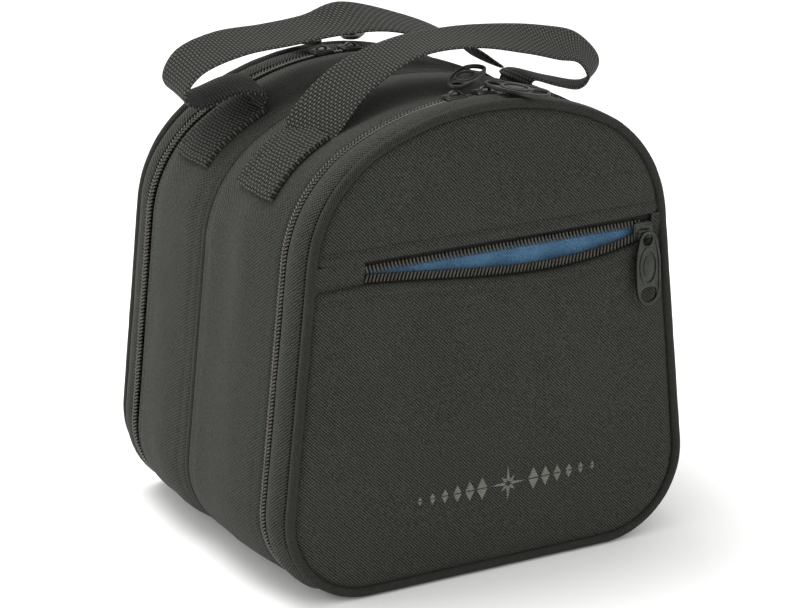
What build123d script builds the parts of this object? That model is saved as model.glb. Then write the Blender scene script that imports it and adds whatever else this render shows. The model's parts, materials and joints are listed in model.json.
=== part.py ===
"""Two-compartment padded flight bag: gusset body, two hinged zip lids, pocket and two handles.

Frame: X across the front panel, Y from front (-) to rear (+), Z up, floor at z = 0.
All sizes are in millimetres.
"""
import os
from math import acos, asin, cos, degrees, radians, sin

from build123d import *

os.makedirs("parts", exist_ok=True)

# ---- driving dimensions ------------------------------------------------------
CORNER_RADIUS = 46.0
SIDE_TAPER = radians(6.0)
CROWN_RADIUS = 150.0
SHOULDER_RADIUS = 70.0
PIPING_RADIUS = 2.2
FABRIC = 4.0
GAP = 0.3
LINING = 0.8

# station: (y, half width, top height, base height)
FRONT_PIPING = (-97.5, 118.0, 256.2, 2.2)
FRONT_BAND = (-95.0, 119.2, 256.0, 1.4)
FRONT_ZIP = (-75.0, 121.5, 254.2, 1.2)
FRONT_EDGE = (-71.5, 122.0, 254.2, 0.0)
FRONT_PUFF = (-32.0, 126.5, 253.0, 0.0)
SEAM = (10.0, 126.0, 246.6, 0.0)
REAR_PUFF = (44.0, 129.5, 248.0, 0.0)
REAR_EDGE = (72.5, 127.5, 244.4, 0.0)
REAR_ZIP = (76.0, 127.2, 244.2, 1.2)
REAR_BAND = (95.0, 124.2, 243.2, 1.4)
REAR_PIPING = (97.5, 123.0, 243.0, 2.2)

HINGE_HALF = 70.0
STRAP_WIDTH = 38.0
STRAP_THICK = 2.0
FRONT_STRAP_Y = -35.0
REAR_STRAP_Y = 43.0
POCKET_LEFT = -74.0
POCKET_RIGHT = 92.0
PULL_REACH = 36.0
POCKET_PULL_REACH = 41.5
PULL_WIDTH = 15.0


# ---- outline helpers ---------------------------------------------------------
def crown_centre(station):
    """Centre of the crown arc of a station, as a point in X and Z."""
    return (0.0, station[2] - CROWN_RADIUS)


def arc_points(centre, radius, start, end):
    """Start, middle and end point of an arc given by its centre and angles."""
    angles = (start, (start + end) / 2, end)
    return [(centre[0] + radius * cos(a), centre[1] + radius * sin(a)) for a in angles]


def loaf(station, inset=0.0):
    """Draw the closed round-shouldered outline of a station, set in by a distance."""
    half_width = station[1]
    base = station[3]
    corner = (half_width - CORNER_RADIUS, base + CORNER_RADIUS)
    crown = crown_centre(station)
    side_x = corner[0] + CORNER_RADIUS * cos(SIDE_TAPER)
    side_z = corner[1] + CORNER_RADIUS * sin(SIDE_TAPER)
    span = CROWN_RADIUS - SHOULDER_RADIUS
    drop = (crown[0] - side_x) * cos(SIDE_TAPER) + (crown[1] - side_z) * sin(SIDE_TAPER)
    turn = SIDE_TAPER + acos((-SHOULDER_RADIUS - drop) / span)
    shoulder = (crown[0] + span * cos(turn), crown[1] + span * sin(turn))
    bottom_arc = arc_points(corner, CORNER_RADIUS - inset, radians(-90), SIDE_TAPER)
    shoulder_arc = arc_points(shoulder, SHOULDER_RADIUS - inset, SIDE_TAPER, turn)
    crown_arc = arc_points(crown, CROWN_RADIUS - inset, turn, radians(180) - turn)
    left_bottom = [(-x, z) for x, z in bottom_arc]
    left_shoulder = [(-x, z) for x, z in shoulder_arc]
    with BuildLine() as outline:
        Line(left_bottom[0], bottom_arc[0])
        ThreePointArc(*bottom_arc)
        Line(bottom_arc[2], shoulder_arc[0])
        ThreePointArc(*shoulder_arc)
        ThreePointArc(*crown_arc)
        ThreePointArc(*left_shoulder)
        Line(left_shoulder[0], left_bottom[2])
        ThreePointArc(*left_bottom)
    make_face(outline.edges())


def loaf_loft(stations, inset, mode=Mode.ADD):
    """Loft the outline through several stations at one inset."""
    faces = []
    for station in stations:
        with BuildSketch(Plane.XZ.offset(-station[0])) as section:
            loaf(station, inset)
        faces.append(section.sketch.face())
    loft(faces, mode=mode)


def at_y(station, y):
    """The same outline moved to another depth."""
    return (y, station[1], station[2], station[3])


def save(piece, label):
    """Name a piece and write it out."""
    piece.part.label = label
    export_step(piece.part, "parts/" + label + ".step")


def lowered(station):
    """The outline with its base just under the floor, to be trimmed flat."""
    return (station[0], station[1], station[2], station[3] - 0.25)


def shell(label, stations, outer, inner, keep=None, drop=None):
    """A sleeve between two insets, with an optional kept or dropped box."""
    with BuildPart() as piece:
        loaf_loft(stations, outer)
        loaf_loft(stations, inner, Mode.SUBTRACT)
        for size, centre, mode in (keep or []) + (drop or []):
            with Locations(centre):
                Box(*size, mode=mode)
    save(piece, label)


def base_gap(y_low, y_high):
    """The box that opens a U between the two ends of a zip at the base."""
    size = (2 * HINGE_HALF + 2, y_high - y_low + 2, 24)
    return [(size, (0, (y_low + y_high) / 2, 0), Mode.SUBTRACT)]


# ---- gussets, linings, divider -----------------------------------------------
front_sections = [FRONT_EDGE, FRONT_PUFF, at_y(SEAM, SEAM[0] - 0.15)]
rear_sections = [at_y(SEAM, SEAM[0] + 0.15), REAR_PUFF, REAR_EDGE]
floor_trim = [((300, 200, 10), (0, 0, -5), Mode.SUBTRACT)]
shell("front_gusset", [lowered(s) for s in front_sections], 0.0, FABRIC, drop=floor_trim)
shell("rear_gusset", [lowered(s) for s in rear_sections], 0.0, FABRIC, drop=floor_trim)


def between(low, high, y):
    """The outline found by straight change between two stations."""
    part_way = (y - low[0]) / (high[0] - low[0])
    return (y,) + tuple(a + (b - a) * part_way for a, b in zip(low[1:], high[1:]))


LINE_OUT = FABRIC + GAP
LINE_IN = LINE_OUT + LINING
front_lining = [between(FRONT_EDGE, FRONT_PUFF, -58.0), FRONT_PUFF, at_y(SEAM, 6.6)]
rear_lining = [at_y(SEAM, 13.4), REAR_PUFF, between(REAR_PUFF, REAR_EDGE, 59.0)]
shell("front_gusset_lining", front_lining, LINE_OUT + 0.3, LINE_IN + 0.3)
shell("rear_gusset_lining", rear_lining, LINE_OUT + 0.3, LINE_IN + 0.3)

for label, y_start, thick in (
    ("divider_foam", 8.0, 4.0),
    ("divider_front_lining", 6.9, 0.8),
    ("divider_rear_lining", 12.3, 0.8),
):
    with BuildPart() as plate:
        with BuildSketch(Plane.XZ.offset(-y_start)):
            loaf(SEAM, LINE_OUT)
        extrude(amount=-thick)
    save(plate, label)

# the seam binding is a narrow tape laid in the valley between the gussets
binding = [at_y(SEAM, 7.6), at_y(SEAM, 12.4)]
under_floor = [((300, 20, 10), (0, 10, -4.95), Mode.SUBTRACT)]
shell("centre_seam_binding", binding, -1.1, -0.5, drop=under_floor)

# ---- zip chains of the two lids ----------------------------------------------
COIL_OUT = 1.2
COIL_IN = 4.0


def zip_half(tape_label, coil_label, station, coil_y, tape_y, beyond):
    """One tape and one coil of a lid zip, both open at the base."""
    tape = [at_y(station, tape_y[0]), at_y(station, tape_y[1])]
    if beyond:
        low, high = sorted((station, beyond))
        tape = [between(low, high, tape_y[0]), between(low, high, tape_y[1])]
    coil = [at_y(station, coil_y[0]), at_y(station, coil_y[1])]
    shell(tape_label, tape, LINE_OUT, LINE_OUT + 0.7, drop=base_gap(*tape_y))
    shell(coil_label, coil, COIL_OUT, COIL_IN, drop=base_gap(*coil_y))


zip_half("front_gusset_zip_tape", "front_gusset_coil", FRONT_ZIP, (-74.5, -71.9), (-74.0, -60.0), None)
zip_half("front_lid_zip_tape", "front_lid_coil", FRONT_ZIP, (-78.1, -75.5), (-89.0, -76.0), FRONT_BAND)
zip_half("rear_gusset_zip_tape", "rear_gusset_coil", REAR_ZIP, (72.9, 75.5), (61.0, 75.0), None)
zip_half("rear_lid_zip_tape", "rear_lid_coil", REAR_ZIP, (76.5, 79.1), (77.0, 90.0), REAR_BAND)

# ---- hinge strips left at the base between the zip ends ----------------------
for label, y_low, y_high in (
    ("front_hinge_strip", -94.9, -71.8),
    ("rear_hinge_strip", 72.8, 94.9),
):
    with BuildPart() as strip:
        with Locations((0, (y_low + y_high) / 2, 2.7)):
            Box(2 * HINGE_HALF - 1, y_high - y_low, 2.6)
    save(strip, label)

# ---- lids --------------------------------------------------------------------
shell("front_lid_band", [FRONT_BAND, between(FRONT_BAND, FRONT_ZIP, -78.5)], 0.0, FABRIC, drop=base_gap(-95, -78))
shell("rear_lid_band", [between(REAR_ZIP, REAR_BAND, 79.5), REAR_BAND], 0.0, FABRIC, drop=base_gap(79, 95))

for label, station in (("front_lid_piping", FRONT_PIPING), ("rear_lid_piping", REAR_PIPING)):
    with BuildPart() as piping:
        with BuildSketch(Plane.XZ.offset(-station[0] + PIPING_RADIUS)):
            loaf(station, -PIPING_RADIUS)
        extrude(amount=-2 * PIPING_RADIUS)
        with BuildSketch(Plane.XZ.offset(-station[0] + PIPING_RADIUS)):
            loaf(station, PIPING_RADIUS)
        extrude(amount=-2 * PIPING_RADIUS, mode=Mode.SUBTRACT)
        long_edges = piping.edges().filter_by(lambda e: abs(e.tangent_at(0.5).Y) < 0.5)
        fillet(long_edges, radius=PIPING_RADIUS * 0.8)
    save(piping, label)


def lower_coil_line(shift):
    """Points of the sagging lower row of the pocket zip, moved down by a shift."""
    heights = ((-74, 175), (-20, 169.5), (32, 166), (70, 169), (92, 174))
    return [(x, z - shift) for x, z in heights]


PANEL_FACE = -99.3
PANEL_BACK = -97.3
UPPER_ROW = 179.0
TOP_LIP = 184.0


def slab(y_front, y_back, mode=Mode.ADD, inset=2.5, station=FRONT_PIPING):
    """A flat sheet with the outline of a lid."""
    with BuildSketch(Plane.XZ.offset(-y_front)) as outline:
        loaf(station, inset)
    extrude(outline.sketch, amount=-(y_back - y_front), mode=mode)


with BuildPart() as upper_panel:
    slab(PANEL_FACE, PANEL_BACK)
    with Locations((0, PANEL_FACE, TOP_LIP - 150)):
        Box(300, 20, 300, mode=Mode.SUBTRACT)
save(upper_panel, "front_upper_panel")

with BuildPart() as lower_panel:
    slab(PANEL_FACE, PANEL_BACK)
    with BuildSketch(Plane.XZ.offset(-PANEL_FACE + 5)):
        edge_points = lower_coil_line(3.6)
        with BuildLine():
            Spline(*edge_points)
            Polyline(edge_points[-1], (140, 171), (140, 300), (-140, 300), (-140, 171.4), edge_points[0])
        make_face()
    extrude(amount=-20, mode=Mode.SUBTRACT)
save(lower_panel, "front_lower_panel")

for label, y_front, y_back, inset in (
    ("front_panel_foam", -89.7, -86.7, 7.6),
    ("front_panel_lining", -86.4, -85.6, 7.6),
):
    with BuildPart() as sheet:
        slab(y_front, y_back, inset=inset)
    save(sheet, label)

for label, y_front, y_back, inset in (
    ("rear_panel", 97.3, 99.3, 2.5),
    ("rear_panel_foam", 90.3, 97.0, 7.6),
    ("rear_panel_lining", 88.9, 89.7, 7.6),
):
    with BuildPart() as sheet:
        slab(y_front, y_back, inset=inset, station=REAR_PIPING)
    save(sheet, label)

# ---- pocket ------------------------------------------------------------------
POCKET_BACK = -90.8
POCKET_FLOOR = 24.0
with BuildPart() as pocket:
    slab(PANEL_BACK + 0.3, -90.0, inset=7.0)
    slab(PANEL_BACK + 0.3, POCKET_BACK, Mode.SUBTRACT, inset=8.0)
    with Locations((0, -94, 190 + 100)):
        Box(300, 30, 200, mode=Mode.SUBTRACT)
save(pocket, "pocket_lining")


def zip_row(label, points, thick, y_front, y_back):
    """A row that follows a line of points, given thickness up and down."""
    above = [(x, z + thick / 2) for x, z in points]
    below = [(x, z - thick / 2) for x, z in points]
    with BuildPart() as row:
        with BuildSketch(Plane.XZ.offset(-y_front)):
            with BuildLine():
                Spline(*above)
                Line(above[-1], below[-1])
                Spline(*below)
                Line(below[0], above[0])
            make_face()
        extrude(amount=-(y_back - y_front))
    save(row, label)


def straight_row(label, z_low, z_high, y_front, y_back):
    """A straight row of the pocket zip."""
    with BuildPart() as row:
        with Locations(((POCKET_LEFT + POCKET_RIGHT) / 2, (y_front + y_back) / 2, (z_low + z_high) / 2)):
            Box(POCKET_RIGHT - POCKET_LEFT, y_back - y_front, z_high - z_low)
    save(row, label)


straight_row("pocket_upper_coil", UPPER_ROW - 1.8, UPPER_ROW + 1.8, -99.2, -96.6)
straight_row("pocket_upper_tape", UPPER_ROW - 0.5, 188.0, -96.3, -95.7)
zip_row("pocket_lower_coil", lower_coil_line(0.0), 3.4, -99.2, -96.6)
zip_row("pocket_lower_tape", lower_coil_line(5.0), 9.0, -96.3, -95.7)

for label, x_low, x_high in (("pocket_left_tab", -99.0, -74.4), ("pocket_right_tab", 97.6, 100.6)):
    with BuildPart() as tab:
        with Locations(((x_low + x_high) / 2, -98.15, 177.7)):
            Box(x_high - x_low, 1.9, 12.0)
    save(tab, label)

# ---- emblem: a compass star with a row of shrinking diamonds each side --------
EMBLEM_X = 9.0
EMBLEM_Z = 49.0
with BuildPart() as emblem:
    with BuildSketch(Plane.XZ.offset(-PANEL_FACE + 0.1)):
        star = []
        for step in range(8):
            reach = 9.0 if step % 2 == 0 else 3.2
            angle = radians(45 * step)
            star.append((EMBLEM_X + reach * cos(angle), EMBLEM_Z + reach * sin(angle)))
        with BuildLine():
            Polyline(*star, close=True)
        make_face()
        for side in (-1, 1):
            for step in range(6):
                size = 7.0 - 0.8 * step
                spot_x = EMBLEM_X + side * (14.5 + 7.6 * step)
                with BuildLine():
                    Polyline(
                        (spot_x - size / 2, EMBLEM_Z),
                        (spot_x, EMBLEM_Z + size * 0.8),
                        (spot_x + size / 2, EMBLEM_Z),
                        (spot_x, EMBLEM_Z - size * 0.8),
                        close=True,
                    )
                make_face()
    extrude(amount=0.4)
save(emblem, "front_emblem")


# ---- lid zip sliders and their pulls -------------------------------------------
def crown_slider(label, station, angle, y_middle):
    """A slider body that wraps the chain and runs round the crown arc."""
    centre_z = crown_centre(station)[1]
    half_length = degrees(5.5 / CROWN_RADIUS)

    def ring_piece(inner, outer, half_angle, half_width):
        """A block of the ring under or over the chain."""
        points_in = arc_points((0, centre_z), inner, radians(90 - angle - half_angle),
                               radians(90 - angle + half_angle))
        points_out = arc_points((0, centre_z), outer, radians(90 - angle - half_angle),
                                radians(90 - angle + half_angle))
        with BuildSketch(Plane.XZ.offset(-y_middle)) as block:
            with BuildLine():
                ThreePointArc(*points_in)
                Line(points_in[2], points_out[2])
                ThreePointArc(*points_out)
                Line(points_out[0], points_in[0])
            make_face()
        extrude(block.sketch, amount=half_width, both=True)

    with BuildPart() as slider:
        ring_piece(CROWN_RADIUS + 0.9, CROWN_RADIUS + 2.3, half_length, 4.6)
        ring_piece(CROWN_RADIUS - 6.6, CROWN_RADIUS - 5.3, half_length, 4.2)
        ring_piece(CROWN_RADIUS - 5.3, CROWN_RADIUS + 0.9, half_length * 0.6, 0.3)
        ring_piece(CROWN_RADIUS + 2.3, CROWN_RADIUS + 4.9, half_length * 0.45, 1.2)
    save(slider, label)


def pull_tab(label, pin, along, up, reach=PULL_REACH):
    """A flat rounded pull with a slot near its free end."""
    plane = Plane(origin=pin, x_dir=along, z_dir=up)
    with BuildPart() as tab:
        with BuildSketch(plane.offset(-0.9)):
            with Locations(((reach + 7.0) / 2, 0)):
                SlotOverall(reach - 7.0, PULL_WIDTH)
            with Locations((5.0, 0)):
                Rectangle(8.0, 7.0)
            with Locations((reach - 6.0, 0)):
                SlotOverall(8.5, 4.0, rotation=90, mode=Mode.SUBTRACT)
        extrude(amount=1.8)
    save(tab, label)


def on_crown(station, angle, lift):
    """A point above the crown arc at an angle from the middle."""
    centre_z = crown_centre(station)[1]
    reach = CROWN_RADIUS + lift
    return (reach * sin(radians(angle)), centre_z + reach * cos(radians(angle)))


SLIDER_ANGLE_LEFT = -3.7
SLIDER_ANGLE_RIGHT = 3.0
crown_slider("front_left_slider", FRONT_ZIP, SLIDER_ANGLE_LEFT, -75.0)
crown_slider("front_right_slider", FRONT_ZIP, SLIDER_ANGLE_RIGHT, -75.0)
crown_slider("rear_left_slider", REAR_ZIP, -3.4, 76.0)
crown_slider("rear_right_slider", REAR_ZIP, 3.4, 76.0)

x_pin, z_pin = on_crown(FRONT_ZIP, SLIDER_ANGLE_LEFT, 6.0)
pull_tab("front_left_pull", (x_pin, -75, z_pin), (0.76, 0.64, 0.08), (-0.06, -0.05, 1.0))
x_pin, z_pin = on_crown(FRONT_ZIP, SLIDER_ANGLE_RIGHT, 6.4)
pull_tab("front_right_pull", (x_pin, -75, z_pin), (0.70, -0.71, -0.07), (0.05, -0.05, 1.0))
x_pin, z_pin = on_crown(REAR_ZIP, -3.4, 6.4)
pull_tab("rear_left_pull", (x_pin, 76, z_pin), (-0.5, 0.86, 0.0), (0.0, 0.0, 1.0))
x_pin, z_pin = on_crown(REAR_ZIP, 3.4, 6.4)
pull_tab("rear_right_pull", (x_pin, 76, z_pin), (0.5, 0.86, 0.0), (0.0, 0.0, 1.0))

# ---- pocket slider and pull ------------------------------------------------------
SLIDER_X = 90.0
SLIDER_Z = 176.0
with BuildPart() as pocket_slider:
    with Locations((SLIDER_X, -100.4, SLIDER_Z)):
        Box(10.5, 1.6, 9.6)
    vertical = pocket_slider.edges().filter_by(Axis.Y)
    fillet(vertical, radius=2.5)
    with Locations((SLIDER_X, -102.2, SLIDER_Z)):
        Box(2.4, 2.0, 6.0)
save(pocket_slider, "pocket_slider")
pull_tab("pocket_pull", (SLIDER_X, -104.5, SLIDER_Z + 1.0), (0.05, 0.0, -1.0), (0.0, -1.0, 0.0),
         POCKET_PULL_REACH)


# ---- handles -----------------------------------------------------------------
def strap(label, points, y_middle, start_slope, end_slope):
    """A flat strap that follows a line of points in X and Z."""
    with BuildPart() as piece:
        with BuildSketch(Plane.XZ.offset(-y_middle)):
            with BuildLine() as path:
                Spline(*points, tangents=(start_slope, end_slope))
            trace(path.edges(), line_width=STRAP_THICK)
        extrude(amount=STRAP_WIDTH / 2, both=True)
    save(piece, label)


strap("front_handle_grip", [(-44, 265.5), (-22, 272), (3, 275.5), (28, 274), (52, 269.5)],
      FRONT_STRAP_Y, (1, 0.45), (1, -0.2))
strap("front_handle_left_leg", [(-79.5, 242.5), (-66, 254), (-44.4, 265.3)], FRONT_STRAP_Y,
      (0.8, 0.75), (1, 0.45))
strap("front_handle_right_leg", [(52.4, 269.4), (72, 265), (90, 259), (98, 249.5), (94.5, 239), (88, 231)],
      FRONT_STRAP_Y, (1, -0.2), (-0.7, -0.7))
strap("rear_handle_grip", [(-60, 267.5), (-33, 269.5), (0, 272), (30, 266.5), (50, 258.5)],
      REAR_STRAP_Y, (1, 0.05), (1, -0.5))
strap("rear_handle_left_leg", [(-78, 234.5), (-96, 233), (-108, 239.5), (-112, 250), (-102, 260), (-60.4, 267.5)],
      REAR_STRAP_Y, (-1, 0.0), (1, 0.05))
strap("rear_handle_right_leg", [(50.4, 258.3), (66, 249.5), (80, 237)], REAR_STRAP_Y,
      (1, -0.5), (0.75, -1))


def sewn_end(label, stations, y_middle, side, z_low, z_high):
    """A strap end sewn flat on the shoulder of a gusset."""
    with BuildPart() as piece:
        loaf_loft(stations, -0.4 - STRAP_THICK)
        loaf_loft(stations, -0.4, Mode.SUBTRACT)
        with Locations((side * 100, y_middle, (z_low + z_high) / 2)):
            Box(80, STRAP_WIDTH, z_high - z_low, mode=Mode.INTERSECT)
    save(piece, label)


sewn_end("front_handle_left_end", front_sections, FRONT_STRAP_Y, -1, 205.5, 240.0)
sewn_end("front_handle_right_end", front_sections, FRONT_STRAP_Y, 1, 205.5, 229.0)
sewn_end("rear_handle_left_end", rear_sections, REAR_STRAP_Y, -1, 203.5, 231.5)
sewn_end("rear_handle_right_end", rear_sections, REAR_STRAP_Y, 1, 203.5, 234.0)
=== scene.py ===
"""Padded two-compartment flight bag: cloth shells, zips, pulls, webbing handles and studio."""
from __future__ import annotations

import json
import logging
import math
from dataclasses import dataclass, field
from enum import Enum
from functools import partial
from typing import Callable, Sequence

import bpy
import numpy as np
from mathutils import Matrix, Vector, noise

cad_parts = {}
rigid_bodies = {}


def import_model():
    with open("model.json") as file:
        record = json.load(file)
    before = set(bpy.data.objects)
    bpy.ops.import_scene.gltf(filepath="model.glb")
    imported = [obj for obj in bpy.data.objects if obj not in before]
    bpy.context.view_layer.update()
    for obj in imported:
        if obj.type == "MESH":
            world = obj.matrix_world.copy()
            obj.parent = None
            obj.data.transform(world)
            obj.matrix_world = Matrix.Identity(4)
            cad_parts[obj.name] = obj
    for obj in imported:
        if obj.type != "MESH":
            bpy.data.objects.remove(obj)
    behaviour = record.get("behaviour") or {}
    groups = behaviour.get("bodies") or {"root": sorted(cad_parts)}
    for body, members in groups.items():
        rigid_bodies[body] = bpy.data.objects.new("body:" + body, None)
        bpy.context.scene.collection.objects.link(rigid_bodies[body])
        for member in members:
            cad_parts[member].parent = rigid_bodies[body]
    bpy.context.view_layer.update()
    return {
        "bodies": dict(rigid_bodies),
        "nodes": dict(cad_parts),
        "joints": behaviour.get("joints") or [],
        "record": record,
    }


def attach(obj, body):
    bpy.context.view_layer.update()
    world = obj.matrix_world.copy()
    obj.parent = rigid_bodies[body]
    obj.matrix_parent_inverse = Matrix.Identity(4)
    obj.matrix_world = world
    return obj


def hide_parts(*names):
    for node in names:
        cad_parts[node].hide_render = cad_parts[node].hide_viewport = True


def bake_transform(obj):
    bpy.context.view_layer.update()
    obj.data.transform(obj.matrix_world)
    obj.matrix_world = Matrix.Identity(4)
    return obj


LOG = logging.getLogger("flight_bag")
MM = 0.001
CORNER_RADIUS = 46.0
SIDE_TAPER = math.radians(6.0)
CROWN_RADIUS = 150.0
SHOULDER_RADIUS = 70.0
ROOT = "bag_body"


# ---- outline of the bag -----------------------------------------------------
@dataclass(frozen=True)
class Station:
    """The loaf outline at one depth of the bag, in millimetres."""

    y: float
    half_width: float
    top: float
    base: float = 0.0

    def at(self, y: float) -> "Station":
        """Return the same outline at another depth."""
        return Station(y, self.half_width, self.top, self.base)

    def mixed(self, other: "Station", share: float, y: float) -> "Station":
        """Return an outline part of the way to another one.

        Args:
            other: The outline reached at a share of 1.
            share: How far to go, from 0 to 1.
            y: The depth of the result.

        Returns:
            The outline in between.
        """
        return Station(
            y,
            self.half_width + (other.half_width - self.half_width) * share,
            self.top + (other.top - self.top) * share,
            self.base + (other.base - self.base) * share,
        )


FRONT_PIPING = Station(-97.5, 118.0, 256.2, 2.2)
FRONT_BAND = Station(-95.0, 119.2, 256.0, 1.4)
FRONT_ZIP = Station(-75.0, 121.5, 254.2, 1.2)
FRONT_EDGE = Station(-71.5, 122.0, 254.2)
FRONT_PUFF = Station(-32.0, 126.5, 253.0)
SEAM = Station(10.0, 126.0, 246.6)
REAR_PUFF = Station(44.0, 129.5, 248.0)
REAR_EDGE = Station(72.5, 127.5, 244.4)
REAR_ZIP = Station(76.0, 127.2, 244.2, 1.2)
REAR_BAND = Station(95.0, 124.2, 243.2, 1.4)
REAR_PIPING = Station(97.5, 123.0, 243.0, 2.2)
ZIP_GAP = 71.0


def arc(centre: tuple[float, float], radius: float, start: float, end: float, count: int) -> list:
    """Sample an arc as points with their outward normals.

    Args:
        centre: Centre in X and Z.
        radius: Radius in millimetres.
        start: First angle in radians.
        end: Last angle in radians.
        count: Number of samples, ends included.

    Returns:
        Rows of x, z, normal x, normal z.
    """
    rows = []
    for angle in np.linspace(start, end, count):
        c, s = math.cos(angle), math.sin(angle)
        rows.append((centre[0] + radius * c, centre[1] + radius * s, c, s))
    return rows


def loaf(station: Station, inset: float = 0.0, gap: float = 0.0, fine: int = 1) -> np.ndarray:
    """Walk round the loaf outline from the base, up the right side and down the left.

    Args:
        station: Outline to walk.
        inset: Distance that the walk lies inside the outline.
        gap: Half width left open at the base, or 0 for a closed loop.
        fine: Multiplier on the number of samples.

    Returns:
        Rows of x, z, normal x, normal z and length walked.
    """
    corner = (station.half_width - CORNER_RADIUS, station.base + CORNER_RADIUS)
    crown = (0.0, station.top - CROWN_RADIUS)
    side = (corner[0] + CORNER_RADIUS * math.cos(SIDE_TAPER), corner[1] + CORNER_RADIUS * math.sin(SIDE_TAPER))
    span = CROWN_RADIUS - SHOULDER_RADIUS
    drop = (crown[0] - side[0]) * math.cos(SIDE_TAPER) + (crown[1] - side[1]) * math.sin(SIDE_TAPER)
    turn = SIDE_TAPER + math.acos((-SHOULDER_RADIUS - drop) / span)
    shoulder = (crown[0] + span * math.cos(turn), crown[1] + span * math.sin(turn))
    base_z = station.base + inset
    right = [(x, base_z, 0.0, -1.0) for x in np.linspace(gap, corner[0], 9 * fine)[:-1]]
    right += arc(corner, CORNER_RADIUS - inset, -math.pi / 2, SIDE_TAPER, 16 * fine)[:-1]
    start = arc(corner, CORNER_RADIUS - inset, SIDE_TAPER, SIDE_TAPER, 1)[0]
    end = arc(shoulder, SHOULDER_RADIUS - inset, SIDE_TAPER, SIDE_TAPER, 1)[0]
    for share in np.linspace(0, 1, 26 * fine)[:-1]:
        right.append(tuple(a + (b - a) * share for a, b in zip(start, end)))
    right += arc(shoulder, SHOULDER_RADIUS - inset, SIDE_TAPER, turn, 22 * fine)[:-1]
    right += arc(crown, CROWN_RADIUS - inset, turn, math.pi / 2, 18 * fine)
    left = [(-x, z, -nx, nz) for x, z, nx, nz in reversed(right[:-1])]
    rows = np.array(right + (left if gap else left[:-1]))
    steps = np.hypot(*np.diff(rows[:, :2], axis=0).T)
    return np.column_stack([rows, np.concatenate([[0.0], np.cumsum(steps)])])


def half_width_at(station: Station, inset: float, z: np.ndarray) -> np.ndarray:
    """Half width of the outline at heights above the floor.

    Args:
        station: Outline to measure.
        inset: Distance inside the outline.
        z: Heights in millimetres.

    Returns:
        The half width at each height.
    """
    rows = loaf(station, inset, fine=4)
    top = int(np.argmax(rows[:, 1]))
    return np.interp(z, rows[: top + 1, 1], rows[: top + 1, 0])


def swollen(first: Station, puff: Station, last: Station, y: float) -> Station:
    """Outline of a gusset that swells between its two seams.

    Args:
        first: Outline at the lower y.
        puff: Widest outline, between the seams.
        last: Outline at the higher y.
        y: Depth wanted.

    Returns:
        The outline at that depth.
    """
    if y < puff.y:
        share = math.sin(math.pi / 2 * (y - first.y) / (puff.y - first.y))
        return first.mixed(puff, share, y)
    share = 1 - math.cos(math.pi / 2 * (y - puff.y) / (last.y - puff.y))
    return puff.mixed(last, share, y)


# ---- mesh tools ---------------------------------------------------------------
def deselect() -> None:
    """Clear the selection before an operator runs."""
    if bpy.context.object and bpy.context.object.mode != "OBJECT":
        bpy.ops.object.mode_set(mode="OBJECT")
    bpy.ops.object.select_all(action="DESELECT")


def pick(piece: bpy.types.Object) -> None:
    """Select one object alone and make it active."""
    deselect()
    piece.select_set(True)
    bpy.context.view_layer.objects.active = piece


def mesh_piece(name: str, points: np.ndarray, faces: list, uvs: list | None = None) -> bpy.types.Object:
    """Make a smooth mesh from points in millimetres.

    Args:
        name: Name of the piece.
        points: Vertex places, N rows of x, y, z.
        faces: Vertex indices of each face.
        uvs: For each face, a UV in metres for each corner.

    Returns:
        The new object, with its normals turned outwards.
    """
    mesh = bpy.data.meshes.new(name)
    mesh.from_pydata((np.asarray(points) * MM).tolist(), [], faces)
    if uvs:
        layer = mesh.uv_layers.new(name="cloth")
        flat = np.array([c for face in uvs for c in face], dtype=np.float32)
        layer.data.foreach_set("uv", flat.ravel())
    mesh.validate()
    piece = bpy.data.objects.new(name, mesh)
    bpy.context.scene.collection.objects.link(piece)
    pick(piece)
    bpy.ops.object.mode_set(mode="EDIT")
    bpy.ops.mesh.select_all(action="SELECT")
    bpy.ops.mesh.normals_make_consistent(inside=False)
    bpy.ops.object.mode_set(mode="OBJECT")
    bpy.ops.object.shade_smooth_by_angle(angle=math.radians(50))
    return piece


def thick_grid(
    name: str, outer: np.ndarray, inner: np.ndarray, uv: np.ndarray, wrap: bool = False
) -> bpy.types.Object:
    """Close two matching grids of points into one thin solid.

    Args:
        name: Name of the piece.
        outer: Outer face, U by V points.
        inner: Inner face, U by V points.
        uv: UV in metres for each grid point.
        wrap: True if the last row of the grid joins the first.

    Returns:
        The closed piece.
    """
    rows, cols = outer.shape[:2]
    points = np.concatenate([outer.reshape(-1, 3), inner.reshape(-1, 3)])
    shift = rows * cols
    length = uv[-1, 0, 0] + np.linalg.norm(outer[0, 0] - outer[-1, 0]) * MM
    faces, uvs = [], []

    def corner(i: int, j: int, closing: bool) -> tuple[float, float]:
        """UV of a grid corner, carried past the seam of a closed loop."""
        value = uv[i % rows, j]
        return (float(length if closing else value[0]), float(value[1]))

    for i in range(rows if wrap else rows - 1):
        k = (i + 1) % rows
        closing = k == 0
        for j in range(cols - 1):
            quad = [(i, j, False), (k, j, closing), (k, j + 1, closing), (i, j + 1, False)]
            index = [a * cols + b for a, b, _ in quad]
            texture = [corner(*c) for c in quad]
            faces.append(index)
            uvs.append(texture)
            faces.append([v + shift for v in reversed(index)])
            uvs.append(texture[::-1])
        for j in (0, cols - 1):
            a, b = i * cols + j, k * cols + j
            faces.append([a, b, b + shift, a + shift])
            uvs.append([corner(i, j, False), corner(k, j, closing), corner(k, j, closing), corner(i, j, False)])
    if not wrap:
        for i in (0, rows - 1):
            for j in range(cols - 1):
                a, b = i * cols + j, i * cols + j + 1
                faces.append([a, b, b + shift, a + shift])
                uvs.append([corner(i, j, False), corner(i, j + 1, False), corner(i, j + 1, False), corner(i, j, False)])
    return mesh_piece(name, points, faces, uvs)


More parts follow.
